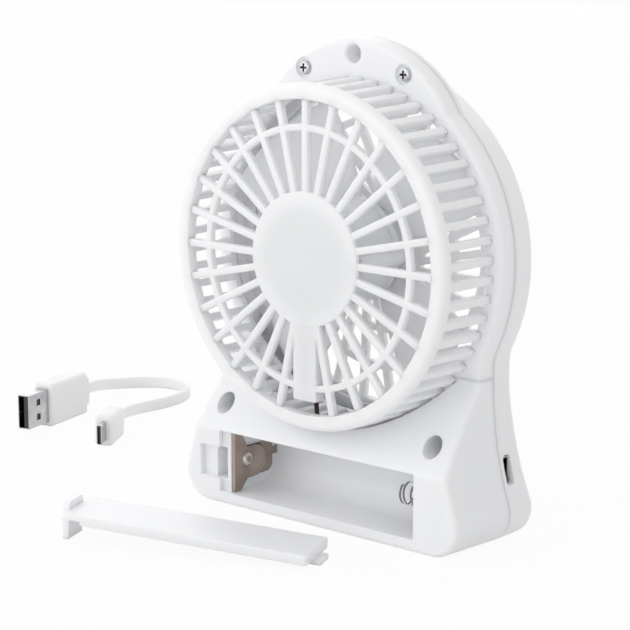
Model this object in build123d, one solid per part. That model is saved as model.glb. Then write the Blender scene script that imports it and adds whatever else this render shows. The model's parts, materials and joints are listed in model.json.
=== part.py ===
from build123d import *

import os
from functools import cache
from math import atan2, cos, degrees, pi, radians, sin, sqrt, tan

# Rechargeable desk fan. Millimetres, +Z up, +Y out of the back, origin under the middle of the foot.

# Clearances
RUN_GAP = 0.3
SHAFT_GAP = 0.03
FIT_GAP = 0.1
CAGE_GAP = 0.3

# Walls
SHELL_WALL = 2.0
BAY_WALL = 1.5

# Depths of the case; the parting plane lies between the front and rear halves
FLANGE_Y = 0.0
PART_Y = -6.0
FRONT_Y = -15.4
LUG_FRONT_THICK = 3.0
LUG_FRONT_Y = PART_Y - LUG_FRONT_THICK
BASE_REAR_Y = 17.6
BASE_FRONT_Y = -18.5

# Battery compartment
CELL_Y = 7.0
CELL_Z = 13.7
BAY_LEFT_X = 34.7
BAY_RIGHT_X = -37.5
BAY_UNDERCUT = 4.0
BAY_LOW_Z = 3.95
BAY_HIGH_Z = 23.4
BAY_FLOOR_WALL = 1.6
BAY_FLOOR_Y = PART_Y + BAY_FLOOR_WALL
BAY_ROUND = 7.5
STEP_WIDE = 3.8
STEP_DEEP = 1.4
LATCH_LOW_Z = 8.0
LATCH_HIGH_Z = 18.0
LATCH_POCKET_WIDE = 4.8
LATCH_POCKET_DEEP = 9.0
LATCH_RECESS_WIDE = 5.5
LATCH_RECESS_DEEP = 2.0

# Head, seen along the fan axis
HEAD_R = 55.0
FLANGE_WIDE = 3.2
CAGE_FOOT_R = HEAD_R - FLANGE_WIDE
HEAD_LIFT = 5.3
HEAD_Z = BAY_HIGH_Z + BAY_WALL + HEAD_LIFT + CAGE_FOOT_R

# Neck and foot, seen along the fan axis
NECK_IN = 6.9
NECK_HALF = HEAD_R - NECK_IN
NECK_RUN = 6.33
NECK_Z = HEAD_Z - sqrt(HEAD_R**2 - NECK_HALF**2) - NECK_RUN
NECK_BLEND = 12.0
BASE_SIDE = 8.3
BASE_HALF = BAY_LEFT_X + BAY_WALL + LATCH_POCKET_WIDE + LATCH_RECESS_WIDE + BASE_SIDE
BASE_CORNER = 9.0

# Sloping facet behind, leaning front, and edges
CREASE_Z = 23.7
FACET_DROP = 0.8
FACET_TOP_Z = NECK_Z - FACET_DROP
FRONT_LOW_Z = 9.0
FRONT_TOP_Z = 46.0
DRAFT = 5.0
EDGE_ROUND = 1.6
CREASE_ROUND = 2.5
FACET_BLEND = 5.0
FRONT_ROUND = 2.4

# Hang lug
LUG_R = 40.0
LUG_RISE = 8.0
LUG_TOP_Z = HEAD_Z + HEAD_R + LUG_RISE
LUG_BLEND = 5.0
LUG_ROUND = 1.4
HANG_R = 2.7
HANG_ROUND = 0.9
HANG_Z = HEAD_Z + HEAD_R + RUN_GAP + HANG_R

# Case screws
SCREW_HEAD_R = 2.0
SCREW_HEAD_H = 1.2
CROSS_LONG = 2.5
CROSS_WIDE = 0.64
SCREW_R = 1.15
SCREW_HOLE_R = 1.35
SCREW_BITE = 2.4
SCREW_SINK = 0.9
SCREW_SINK_R = 3.1
TOP_SCREW_OUT = 1.27
TOP_SCREW_TURN = 19.63
TOP_SCREW_X = (HEAD_R + TOP_SCREW_OUT) * sin(radians(TOP_SCREW_TURN))
TOP_SCREW_Z = HEAD_Z + (HEAD_R + TOP_SCREW_OUT) * cos(radians(TOP_SCREW_TURN))
LOW_SCREW_IN = 7.8
LOW_SCREW_UP = 6.0
LOW_SCREW_X = NECK_HALF - LOW_SCREW_IN
LOW_SCREW_Z = BAY_HIGH_Z + BAY_WALL + LOW_SCREW_UP
LOW_WELL_R = 3.1
LOW_POST_R = 4.5
LOW_SEAT_Y = 0.0
FRONT_POST_R = 3.4

# Rear cage
CAGE_REAR_Y = 22.3
CAGE_TAPER = 0.75
CAGE_R = CAGE_FOOT_R - CAGE_TAPER
LOUVRE_DEEP = 3.0
LOUVRE_THICK = 2.3
LOUVRES = 56
FLANGE_LIP = 2.2
FLANGE_HOLE_R = CAGE_FOOT_R - FLANGE_LIP
RIM_WIDE = 4.65
RIM_IN_R = CAGE_R - RIM_WIDE
RIM_DEEP = 3.7
RIM_ROUND = 2.0
SPOKES = 28
SPOKE_WIDE = 2.2
SPOKE_DEEP = 2.4
SPOKE_SINK = 0.4
RING_INSET = 8.1
RING_R = RIM_IN_R - RING_INSET
RING_WIDE = 2.0
HUB_R = 19.85
HUB_THICK = 1.8
CHANNEL_WIDE = 8.6
CHANNEL_DEEP = 4.6
CHANNEL_WALL = 1.5
CHANNEL_SHORT = 4.2
CHANNEL_END_R = RIM_IN_R - CHANNEL_SHORT

# Motor and its cup
CUP_WALL = 1.8
CUP_LEDGE = 2.2
MOTOR_R = 13.85
MOTOR_LONG = 20.0
MOTOR_REAR_Y = CAGE_REAR_Y - HUB_THICK - CUP_LEDGE
MOTOR_FRONT_Y = MOTOR_REAR_Y - MOTOR_LONG
CAN_WALL = 1.0
CAN_BOSS_R = 4.5
CAN_BOSS_H = 1.5
BUSH_R = 3.0
SHAFT_R = 1.15
MAGNET_THICK = 2.2
MAGNET_SPAN = 130.0
MAGNET_OVERHANG = 1.5
AIR_GAP = 0.45
CORE_LONG = 8.0
CORE_START = 4.7
CORE_FRONT_Y = MOTOR_FRONT_Y + CORE_START
POLES = 3
POLE_WIDE = 3.4
POLE_ROOT_R = 4.0
POLE_TIP_R = 8.2
COIL_BUILD = 1.6
COMMUTATOR_R = 2.6
COMMUTATOR_LONG = 3.2
END_CAP_THICK = 2.5
BRUSH_LONG = 6.0
BRUSH_WIDE = 2.4
CLAMP_THICK = 1.0
EAR_R = 2.3
EAR_SINK = 0.3
CLAMP_SCREW_R = 0.9
SMALL_HEAD_R = 1.7
SMALL_HEAD_H = 0.9

# Front guard
GUARD_EDGE = 3.4
GUARD_R = HEAD_R - GUARD_EDGE
GUARD_RING = 3.0
GUARD_DEEP = 3.3
GUARD_DOME = 1.8
GUARD_THICK = 2.0
GUARD_HUB_R = 15.0
GUARD_SWIRL_R = 7.0
GUARD_RING_INSETS = (25.1, 13.6)
GUARD_SEAT = 2.0
COLLAR_WALL = 1.8

# Fan wheel
WHEEL_TIP_GAP = 3.8
WHEEL_R = FLANGE_HOLE_R - WHEEL_TIP_GAP
WHEEL_HUB_R = 13.6
WHEEL_GUARD_GAP = 1.9
WHEEL_FRONT_Y = FRONT_Y + GUARD_DEEP + WHEEL_GUARD_GAP
WHEEL_MOTOR_GAP = 1.4
WHEEL_REAR_Y = MOTOR_FRONT_Y - CAN_BOSS_H - WHEEL_MOTOR_GAP
WHEEL_WALL = 1.5
WHEEL_BOSS_R = 3.0
SHAFT_COVER = 0.2
SHAFT_FRONT_Y = WHEEL_FRONT_Y + SHAFT_COVER
BLADES = 4
BLADE_THICK = 1.4
BLADE_SINK = 0.6
BLADE_FRONT_Y = WHEEL_FRONT_Y + BLADE_SINK
BLADE_TURN = 45.0
BLADE_MID_R = (WHEEL_HUB_R + WHEEL_R) / 2
BLADE_ROOT_WIDE = 15.0
BLADE_MID_WIDE = 31.0
BLADE_TIP_WIDE = 40.0
BLADE_ROOT_DEEP = 2.8
BLADE_MID_DEEP = 8.6
BLADE_TIP_DEEP = 13.0
BLADE_CAMBER = 1.2

# Battery door
DOOR_THICK = 1.8
DOOR_PROUD = 0.5
DOOR_GAP = 0.25
DOOR_SKIRT_DEEP = 1.1
DOOR_SKIRT_THICK = 1.1
LATCH_LEG_THICK = 1.8
LATCH_LIP_UP = 2.2
LATCH_LIP_ROUND = 1.8
LATCH_BUMP_R = 0.5
TONGUE_LONG = 2.2
TONGUE_WIDE = 7.0
TONGUE_THICK = 1.5
DOOR_AT = (-22.6, 40.6)
DOOR_YAW = 21.0

# Contacts
PLATE_THICK = 0.4
PLATE_STEP = 0.9
PLATE_STRIP_WIDE = 2.8
PLATE_TONGUE_HALF = 5.0
PLATE_TONGUE_LOW = 1.2
PLATE_WAIST = 3.0
PLATE_BEND_Y = 1.8
PLATE_BACK_Y = -2.3
PLATE_BACK_ROUND = 2.6
DIMPLE_R = 2.4
DIMPLE_HIGH = 0.9
DIMPLE_Y = 10.2
TAIL_WIDE = 2.4
NEGATIVE_SIZE = 11.0
SPRING_WIRE = 0.8
SPRING_R = 3.4
SPRING_LONG = 14.6
SPRING_TURNS = 5

# Circuit board, switch and socket
BOARD_THICK = 1.0
BOARD_PART_GAP = 1.2
BOARD_FRONT_Y = PART_Y - BOARD_PART_GAP - BOARD_THICK
SOCKET_SINK = 4.6
SOCKET_MOUTH_X = SOCKET_SINK - BASE_HALF
SOCKET_Z = 21.6
SOCKET_WIDE = 7.6
SOCKET_HIGH = 2.6
SOCKET_LONG = 5.4
SOCKET_WALL = 0.3
SLOT_GAP = 0.5
BOARD_SET_BACK = 2.9
BOARD_CONTACT_GAP = 7.7
BOARD_X = (SOCKET_MOUTH_X + BOARD_SET_BACK, BAY_LEFT_X - BOARD_CONTACT_GAP)
BOARD_LOW_Z = 7.0
BOARD_Z = (BOARD_LOW_Z, LOW_SCREW_Z - FRONT_POST_R - RUN_GAP)
BOARD_SCREW_X_IN = 3.5
BOARD_SCREW_Z_IN = 3.2
BOARD_SCREW_LEFT_IN = 19.5
BOARD_SCREWS = (
    (BOARD_X[0] + BOARD_SCREW_LEFT_IN, BOARD_Z[0] + BOARD_SCREW_Z_IN),
    (BOARD_X[1] - BOARD_SCREW_X_IN, BOARD_Z[0] + BOARD_SCREW_Z_IN),
    (BOARD_X[1] - BOARD_SCREW_X_IN, BOARD_Z[1] - BOARD_SCREW_Z_IN),
)
BOARD_POST_R = 2.4
CHIP_SIZE = (5.0, 1.6, 4.0)
CHIP_XS = (-34.0, -22.0)
CHOKE_R = 2.9
CHOKE_HIGH = 2.8
CHOKE_X = -13.3
SMALL_CHIP = (1.6, 0.8, 0.9)
SMALL_CHIPS = 4
SMALL_CHIP_STEP = 4.2
SMALL_CHIP_Z = 14.0
BUTTON_Z = 18.0
BUTTON_R = 6.0
BUTTON_PROUD = 1.5
BUTTON_FLANGE_R = 7.4
BUTTON_FLANGE_H = 1.2
BUTTON_STEM_R = 2.2
SWITCH_SIZE = 6.0
SWITCH_HIGH = 3.5
PLUNGER_R = 1.7
PLUNGER_UP = 1.2
LENS_X = 14.0
LENS_R = 1.5
LENS_PROUD = 0.2

# Wires
WIRE_R = 0.65
WIRE_SIDE = 0.8
WIRE_STAGGER = 1.9
WIRE_BEND = 2.0
WIRE_DROP_Y = 9.0

# Charging lead, plugs standing on edge on the surface
PLUG_SHELL_HIGH = 12.0
PLUG_SHELL_THICK = 4.5
PLUG_SHELL_WALL = 0.3
PLUG_SHELL_LONG = 12.0
PLUG_WINDOW = 2.2
PLUG_WINDOW_FROM = 5.0
PLUG_WINDOW_SIDE = 2.6
PLUG_INSERT_THICK = 1.9
PLUG_GRIP_HIGH = 15.4
PLUG_GRIP_THICK = 8.0
PLUG_GRIP_LONG = 25.0
PLUG_GRIP_ROUND = 1.6
PLUG_GRIP_BEVEL = 0.8
PLUG_NECK_LONG = 3.2
PLUG_NECK_STEP = 2.2
MICRO_GRIP_HIGH = 10.6
MICRO_GRIP_THICK = 6.4
MICRO_GRIP_LONG = 19.0
MICRO_GRIP_ROUND = 1.4
MICRO_TAPER_LONG = 5.5
MICRO_NECK_HIGH = 6.6
MICRO_NECK_THICK = 3.8
MICRO_TIP_HIGH = 6.85
MICRO_TIP_THICK = 1.8
MICRO_TIP_LONG = 5.6
MICRO_TIP_WALL = 0.3
CORD_WIDE = 4.2
CORD_THICK = 1.5
CORD_ROUND = 0.65
CORD_ROUTE = [
    (156.2, -34.7, 7.7),
    (158.0, -42.3, 7.7),
    (161.4, -49.8, 6.2),
    (166.4, -57.2, 4.2),
    (167.8, -66.1, 2.6),
    (164.1, -74.3, 2.2),
    (156.5, -79.2, 2.2),
    (147.5, -79.1, 2.2),
    (140.0, -74.2, 2.2),
    (136.0, -65.6, 2.2),
    (135.4, -55.8, 2.2),
    (135.2, -46.1, 2.6),
    (132.3, -36.9, 3.8),
    (128.1, -28.7, 5.3),
    (124.2, -22.0, 5.3),
]


def rod(radius, y_front, y_rear, x=0.0, z=HEAD_Z):
    """A cylinder along Y."""
    return Pos(x, (y_front + y_rear) / 2, z) * Rot(90, 0, 0) * Cylinder(radius, y_rear - y_front)


def block(x_span, y_span, z_span):
    """A box between three pairs of limits."""
    spans = (x_span, y_span, z_span)
    size = [abs(high - low) for low, high in spans]
    middle = [(low + high) / 2 for low, high in spans]
    return Pos(*middle) * Box(*size)


def slab(face, y_front, y_rear):
    """A face drawn in X and Z, made solid between two depths."""
    plane = Plane(origin=(0, y_rear, 0), x_dir=(1, 0, 0), z_dir=(0, -1, 0))
    return extrude(plane * face, amount=y_rear - y_front)


def side_slab(face):
    """A face drawn in Y and Z, made solid across the whole width."""
    return extrude(Plane.YZ * face, amount=2 * HEAD_R, both=True)


def turned(points):
    """A ring turned about the fan axis from points given as radius and depth."""
    face = Plane.XY * Polygon(*points, align=None)
    return Pos(0, 0, HEAD_Z) * revolve(face, Axis.Y)


def around(shape, count, first=0.0):
    """Copies of a shape turned about the fan axis."""
    step = 360.0 / count
    return [Pos(0, 0, HEAD_Z) * Rot(0, first + step * k, 0) * shape for k in range(count)]


def mirrored(shape):
    """A shape and its mirror image in X."""
    return [shape, mirror(shape, about=Plane.YZ)]


# Case


def foot_outline(inset, floor_z):
    """The flared foot and neck, drawn in X and Z, moved inwards and up as asked."""
    top = (NECK_HALF - inset, NECK_Z)
    corner = BASE_CORNER - floor_z
    flat_end = BASE_HALF - inset - corner
    across, up = top[0] - flat_end, NECK_Z - BASE_CORNER
    flare_r = (across**2 + up**2 - corner**2) / (2 * (corner - across))
    lean = degrees(atan2(up, across + flare_r))
    edges = [
        Line((0, floor_z), (flat_end, floor_z)),
        CenterArc((flat_end, BASE_CORNER), corner, 270, 90 + lean),
        CenterArc((top[0] + flare_r, NECK_Z), flare_r, 180, lean),
        Line(top, (top[0], HEAD_Z)),
        Line((top[0], HEAD_Z), (0, HEAD_Z)),
        Line((0, HEAD_Z), (0, floor_z)),
    ]
    half = make_face(edges)
    return half + mirror(half, about=Plane.YZ)


def case_outline(with_lug, inset=0.0, floor_z=0.0):
    """The foot, the round head and, if asked for, the hang lug, with their inner corners blended."""
    head_r = HEAD_R - inset
    neck = NECK_HALF - inset
    face = foot_outline(inset, floor_z) + Pos(0, HEAD_Z) * Circle(head_r)
    neck_corner_z = HEAD_Z - sqrt(head_r**2 - neck**2)
    corners = [v for v in face.vertices() if abs(v.Y - neck_corner_z) < 0.01]
    face = fillet(corners, NECK_BLEND)
    if not with_lug:
        return face
    lug_r = LUG_R - inset
    lug_z = LUG_TOP_Z - LUG_R
    face = face + Pos(0, lug_z) * Circle(lug_r)
    lug_corner_z = (head_r**2 - lug_r**2 + lug_z**2 - HEAD_Z**2) / (2 * (lug_z - HEAD_Z))
    corners = [v for v in face.vertices() if abs(v.Y - lug_corner_z) < 0.01]
    return fillet(corners, LUG_BLEND)


def rear_profile(front_y, inset=0.0):
    """The rear half's side view: foot, sloping facet and flange, with the facet's ends blended."""
    top_z = LUG_TOP_Z + HEAD_R
    lean = (BASE_REAR_Y - FLANGE_Y) / (FACET_TOP_Z - CREASE_Z)
    drop = inset * (sqrt(1 + lean**2) - 1) / lean
    face = Polygon(
        (front_y, inset),
        (BASE_REAR_Y - inset, inset),
        (BASE_REAR_Y - inset, CREASE_Z - drop),
        (FLANGE_Y - inset, FACET_TOP_Z - drop),
        (FLANGE_Y - inset, top_z),
        (front_y, top_z),
        align=None,
    )
    crease = [v for v in face.vertices() if abs(v.Y - (CREASE_Z - drop)) < 0.01]
    face = fillet(crease, CREASE_ROUND)
    foot = [v for v in face.vertices() if abs(v.Y - (FACET_TOP_Z - drop)) < 0.01]
    return fillet(foot, FACET_BLEND)


def front_profile(rear_y, inset=0.0):
    """The front half's side view: leaning foot and flat head, with the bends blended."""
    top_z = LUG_TOP_Z + HEAD_R
    face = Polygon(
        (rear_y, inset),
        (BASE_FRONT_Y + inset, inset),
        (BASE_FRONT_Y + inset, FRONT_LOW_Z),
        (FRONT_Y + inset, FRONT_TOP_Z),
        (FRONT_Y + inset, top_z),
        (rear_y, top_z),
        align=None,
    )
    bends = [v for v in face.vertices() if FRONT_LOW_Z - 0.01 < v.Y < FRONT_TOP_Z + 0.01]
    return fillet(bends, FACET_BLEND)


def rear_body(with_lug, inset=0.0):
    """The rear half as one solid: narrower towards the back, cut to its side view."""
    draft = (BASE_REAR_Y - PART_Y) * tan(radians(DRAFT))
    faces = []
    for y, narrow in ((PART_Y, inset), (BASE_REAR_Y, inset + draft)):
        plane = Plane(origin=(0, y, 0), x_dir=(1, 0, 0), z_dir=(0, -1, 0))
        faces.append(plane * case_outline(with_lug, narrow, inset))
    return loft(faces, ruled=True) & side_slab(rear_profile(PART_Y, inset))


def front_face_y(z):
    """Depth of the foot's leaning front face at a height."""
    share = (z - FRONT_LOW_Z) / (FRONT_TOP_Z - FRONT_LOW_Z)
    return BASE_FRONT_Y + (FRONT_Y - BASE_FRONT_Y) * share


def rim_edges(solid, way):
    """The edges round the faces that look along Y in the way given, without the edges between those faces."""
    counts = {}
    for face in solid.faces():
        normal = face.normal_at()
        if abs(normal.X) < 0.02 and normal.Y * way > 0.3:
            for edge in face.edges():
                counts.setdefault(edge, []).append(face)
    return [edge for edge, faces in counts.items() if len(faces) == 1]


def bay_space():
    """The room for the cell: a trough with rounded floor corners, undercut at the spring's end."""
    undercut_x = BAY_RIGHT_X - BAY_UNDERCUT
    room = block((undercut_x, BAY_LEFT_X), (BAY_FLOOR_Y, BASE_REAR_Y + EDGE_ROUND), (BAY_LOW_Z, BAY_HIGH_Z))
    floor_edges = [
        edge
        for edge in room.edges().filter_by(Axis.X)
        if abs(edge.center().Y - BAY_FLOOR_Y) < 0.01
    ]
    room = fillet(floor_edges, BAY_ROUND)
    lip_y = BASE_REAR_Y - SHELL_WALL
    lip = block((undercut_x, BAY_RIGHT_X), (lip_y, BASE_REAR_Y + 2 * EDGE_ROUND), (0, BAY_HIGH_Z + BAY_WALL))
    return room - lip


def latch_span():
    """Limits in X of the latch pocket and of the finger recess beside it."""
    pocket_start = BAY_LEFT_X + BAY_WALL
    pocket_end = pocket_start + LATCH_POCKET_WIDE
    return pocket_start, pocket_end, pocket_end + LATCH_RECESS_WIDE


@cache
def rear_half():
    """The rear half of the case: foot with battery bay, flange round the cage, and the lug's rear half."""
    outer = rear_body(True)
    outer = fillet(rim_edges(outer, 1), EDGE_ROUND)
    hollow = rear_body(False, SHELL_WALL)
    bore_r = CAGE_FOOT_R + CAGE_GAP
    hollow -= rod(bore_r + SHELL_WALL, FLANGE_Y - SHELL_WALL, BASE_REAR_Y + SHELL_WALL)
    shell = outer - hollow

    pocket_start, pocket_end, recess_end = latch_span()
    undercut_x = BAY_RIGHT_X - BAY_UNDERCUT
    bay = block((undercut_x - BAY_WALL, pocket_start), (PART_Y, BASE_REAR_Y), (0, BAY_HIGH_Z + BAY_WALL))
    latch_floor_y = BASE_REAR_Y - LATCH_POCKET_DEEP - BAY_WALL
    latch = block(
        (BAY_LEFT_X, recess_end + BAY_WALL),
        (latch_floor_y, BASE_REAR_Y),
        (LATCH_LOW_Z - BAY_WALL, LATCH_HIGH_Z + BAY_WALL),
    )
    posts = mirrored(rod(LOW_POST_R, PART_Y, BASE_REAR_Y, LOW_SCREW_X, LOW_SCREW_Z))
    shell += (Part() + [bay, latch] + posts) & outer

    far_y = BASE_REAR_Y + SHELL_WALL
    cuts = [
        bay_space(),
        block((BAY_LEFT_X, BAY_LEFT_X + STEP_WIDE), (BASE_REAR_Y - STEP_DEEP, far_y), (BAY_LOW_Z, BAY_HIGH_Z)),
        block(
            (pocket_start, pocket_end),
            (BASE_REAR_Y - LATCH_POCKET_DEEP, far_y),
            (LATCH_LOW_Z, LATCH_HIGH_Z),
        ),
        block(
            (pocket_start, recess_end),
            (BASE_REAR_Y - LATCH_RECESS_DEEP, far_y),
            (LATCH_LOW_Z, LATCH_HIGH_Z),
        ),
        rod(FLANGE_HOLE_R, PART_Y - SHELL_WALL, far_y),
        rod(bore_r, FLANGE_Y, far_y),
        contact_slot(BAY_LEFT_X - PLATE_THICK),
        contact_slot(undercut_x),
        block(
            (-2 * WIRE_SIDE - WIRE_R, 2 * WIRE_SIDE + WIRE_R),
            (WIRE_DROP_Y - 2 * WIRE_R, WIRE_DROP_Y + 2 * WIRE_R),
            (HEAD_Z - bore_r - 2 * SHELL_WALL, HEAD_Z - bore_r + SHELL_WALL),
        ),
    ]
    cuts += mirrored(rod(LOW_WELL_R, LOW_SEAT_Y, far_y, LOW_SCREW_X, LOW_SCREW_Z))
    cuts += mirrored(rod(SCREW_HOLE_R, PART_Y - SHELL_WALL, far_y, LOW_SCREW_X, LOW_SCREW_Z))
    cuts += mirrored(rod(SCREW_HOLE_R, PART_Y - SHELL_WALL, far_y, TOP_SCREW_X, TOP_SCREW_Z))
    cuts += mirrored(rod(SCREW_SINK_R, FLANGE_Y - SCREW_SINK, far_y, TOP_SCREW_X, TOP_SCREW_Z))
    cuts.append(hang_hole())
    return rounded_hole(shell - cuts)


def rear_shell():
    """The rear half above the neck: flange and lug."""
    return rear_half() & block((-2 * HEAD_R, 2 * HEAD_R), (PART_Y, BASE_REAR_Y), (NECK_Z, 2 * LUG_TOP_Z))


def rear_foot():
    """The rear half below the neck: the foot with the battery bay."""
    return rear_half() & block((-2 * HEAD_R, 2 * HEAD_R), (PART_Y, BASE_REAR_Y), (-HEAD_R, NECK_Z))


def hang_hole():
    """The hole through both halves of the lug."""
    return rod(HANG_R, LUG_FRONT_Y - RUN_GAP, FLANGE_Y + RUN_GAP, 0, HANG_Z)


def rounded_hole(shell):
    """The rear half with the hang hole's mouth rounded."""
    mouth = [
        edge
        for edge in shell.edges().filter_by(GeomType.CIRCLE)
        if abs(edge.radius - HANG_R) < 0.01 and abs(edge.center().Y - FLANGE_Y) < 0.01
    ]
    return fillet(mouth, HANG_ROUND)


def contact_slot(x_low):
    """A slot through the bay's floor for a contact's solder tail."""
    half = TAIL_WIDE / 2 + FIT_GAP
    return block(
        (x_low, x_low + PLATE_THICK),
        (PART_Y - SHELL_WALL, BAY_FLOOR_Y + SHELL_WALL),
        (CELL_Z - half, CELL_Z + half),
    )


def front_shell():
    """The front half of the case: foot front, head ring with the guard's seat, and the lug's front half."""
    deep_y = BASE_FRONT_Y - SHELL_WALL
    outer = slab(case_outline(False), deep_y, PART_Y) & side_slab(front_profile(PART_Y))
    outer = fillet(rim_edges(outer, -1), FRONT_ROUND)
    lug_z = LUG_TOP_Z - LUG_R
    lug = slab(Pos(0, lug_z) * Circle(LUG_R), LUG_FRONT_Y, PART_Y)
    lug_edge = [edge for edge in lug.edges() if abs(edge.center().Y - LUG_FRONT_Y) < 0.01]
    lug = fillet(lug_edge, LUG_ROUND)
    hollow = slab(case_outline(False, SHELL_WALL, SHELL_WALL), deep_y, PART_Y)
    hollow = hollow & side_slab(front_profile(PART_Y, SHELL_WALL))
    seat_y = FRONT_Y + GUARD_DEEP
    collar_r = GUARD_R + FIT_GAP
    shell = outer + lug - hollow
    shell += rod(collar_r + COLLAR_WALL, FRONT_Y, seat_y + SHELL_WALL) & outer

    posts = mirrored(rod(FRONT_POST_R, deep_y, PART_Y, LOW_SCREW_X, LOW_SCREW_Z))
    posts += [rod(BOARD_POST_R, deep_y, BOARD_FRONT_Y, x, z) for x, z in BOARD_SCREWS]
    shell += (Part() + posts) & outer
    shell -= rod(collar_r, deep_y, seat_y)
    shell -= rod(GUARD_R - GUARD_SEAT, deep_y, PART_Y + SHELL_WALL)

    bite_y = PART_Y - SCREW_BITE
    cuts = mirrored(rod(SCREW_R, bite_y, PART_Y, TOP_SCREW_X, TOP_SCREW_Z))
    cuts += mirrored(rod(SCREW_R, bite_y - SCREW_BITE, PART_Y, LOW_SCREW_X, LOW_SCREW_Z))
    cuts += [rod(CLAMP_SCREW_R, BOARD_FRONT_Y - SCREW_BITE, BOARD_FRONT_Y, x, z) for x, z in BOARD_SCREWS]
    cuts.append(rod(BUTTON_R + RUN_GAP, deep_y, PART_Y, 0, BUTTON_Z))
    cuts.append(rod(LENS_R, deep_y, PART_Y, LENS_X, BUTTON_Z))
    cuts.append(socket_slot())
    cuts.append(hang_hole())
    return shell - cuts


def socket_slot():
    """The charging slot through the side wall, with rounded ends."""
    middle_y = BOARD_FRONT_Y - SOCKET_HIGH / 2
    high = SOCKET_HIGH + 2 * SLOT_GAP
    slot = block(
        (-HEAD_R - SHELL_WALL, SOCKET_MOUTH_X + SOCKET_LONG + SLOT_GAP),
        (middle_y - high / 2, middle_y + high / 2),
        (SOCKET_Z - SOCKET_WIDE / 2 - SLOT_GAP, SOCKET_Z + SOCKET_WIDE / 2 + SLOT_GAP),
    )
    return fillet(slot.edges().filter_by(Axis.X), high / 3)


# Cage and guard


def louvres():
    """The cage's flank: thin walls running front to back, gaps at the top and bottom of the circle."""
    rear_y = CAGE_REAR_Y - RIM_DEEP / 2
    ring = turned(
        [
            (CAGE_FOOT_R - LOUVRE_DEEP, FLANGE_Y),
            (CAGE_FOOT_R, FLANGE_Y),
            (CAGE_R, rear_y),
            (CAGE_R - LOUVRE_DEEP, rear_y),
        ]
    )
    plate = block((CAGE_R / 2, HEAD_R), (FLANGE_Y, rear_y), (-LOUVRE_THICK / 2, LOUVRE_THICK / 2))
    plates = around(plate, LOUVRES, 90.0 + 180.0 / LOUVRES)
    return ring & (Part() + plates)


def cage_flank():
    """The cage's flank: the louvres and the rear rim with its rounded edges."""
    rim = turned(
        [
            (RIM_IN_R, CAGE_REAR_Y - RIM_DEEP),
            (CAGE_R, CAGE_REAR_Y - RIM_DEEP),
            (CAGE_R, CAGE_REAR_Y),
            (RIM_IN_R, CAGE_REAR_Y),
        ]
    )
    rear = rim.edges().filter_by(GeomType.CIRCLE).group_by(Axis.Y)[-1]
    rim = fillet([edge for edge in rear if abs(edge.radius - CAGE_R) < 0.01], RIM_ROUND)
    rear = rim.edges().filter_by(GeomType.CIRCLE).group_by(Axis.Y)[-1]
    rim = fillet([edge for edge in rear if abs(edge.radius - RIM_IN_R) < 0.01], SPOKE_SINK)
    return rim + louvres()


def cup_bore_r():
    """Radius of the cup that the motor sits in."""
    return MOTOR_R + FIT_GAP


def hub_in_y():
    """Inner face of the cage's hub disc."""
    return CAGE_REAR_Y - HUB_THICK


def spoke_front_y():
    """Inner face of the cage's spokes."""
    return CAGE_REAR_Y - SPOKE_SINK - SPOKE_DEEP


def wire_groove():
    """The room inside the wire channel, open to the front and into the motor's cup."""
    half = CHANNEL_WIDE / 2 - CHANNEL_WALL
    return block(
        (-half, half),
        (FLANGE_Y + CUP_LEDGE, CAGE_REAR_Y - SPOKE_SINK - CHANNEL_WALL),
        (HEAD_Z - CHANNEL_END_R - CHANNEL_WALL, HEAD_Z - cup_bore_r() + 2 * CUP_LEDGE),
    )


def cage_grille():
    """The cage's rear face inside the rim: spokes, ring, hub disc and wire channel."""
    spoke_rear_y = CAGE_REAR_Y - SPOKE_SINK
    spoke_face = Pos((HUB_R + RIM_IN_R) / 2, 0) * Rectangle(RIM_IN_R - HUB_R + SPOKE_WIDE, SPOKE_WIDE)
    web = Circle(RING_R + RING_WIDE / 2) - Circle(RING_R - RING_WIDE / 2)
    web = web + [Rot(0, 0, 360.0 / SPOKES * k) * spoke_face for k in range(SPOKES)]
    web = slab(Pos(0, HEAD_Z) * (web & Circle(RIM_IN_R)), spoke_front_y(), spoke_rear_y)
    hub = rod(HUB_R, hub_in_y(), CAGE_REAR_Y)
    hub = fillet(hub.edges().filter_by(GeomType.CIRCLE).group_by(Axis.Y)[-1], SPOKE_SINK)
    channel = block(
        (-CHANNEL_WIDE / 2, CHANNEL_WIDE / 2),
        (spoke_rear_y - CHANNEL_DEEP, spoke_rear_y),
        (HEAD_Z - CHANNEL_END_R, HEAD_Z - cup_bore_r()),
    )
    grille = web + [hub, channel]
    return grille - [rod(cup_bore_r() + CUP_WALL, FLANGE_Y, hub_in_y()), wire_groove()]


def motor_cup():
    """The cup on the cage's hub that holds the motor, with a ledge, screw ears and a slot for the wires."""
    cup = rod(cup_bore_r() + CUP_WALL, FLANGE_Y, hub_in_y())
    cup += [rod(EAR_R, FLANGE_Y, spoke_front_y(), x) for x in clamp_screw_xs()]
    cuts = [
        rod(cup_bore_r(), FLANGE_Y - CUP_WALL, MOTOR_REAR_Y),
        rod(cup_bore_r() - CUP_LEDGE, MOTOR_REAR_Y - CUP_WALL, hub_in_y()),
        wire_groove(),
    ]
    cuts += [rod(CLAMP_SCREW_R, FLANGE_Y, FLANGE_Y + SCREW_BITE * 2, x) for x in clamp_screw_xs()]
    return cup - cuts


def clamp_screw_xs():
    """Sides of the two screws that hold the motor's clamp."""
    reach = cup_bore_r() + CUP_WALL + EAR_R - EAR_SINK
    return (reach, -reach)


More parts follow.
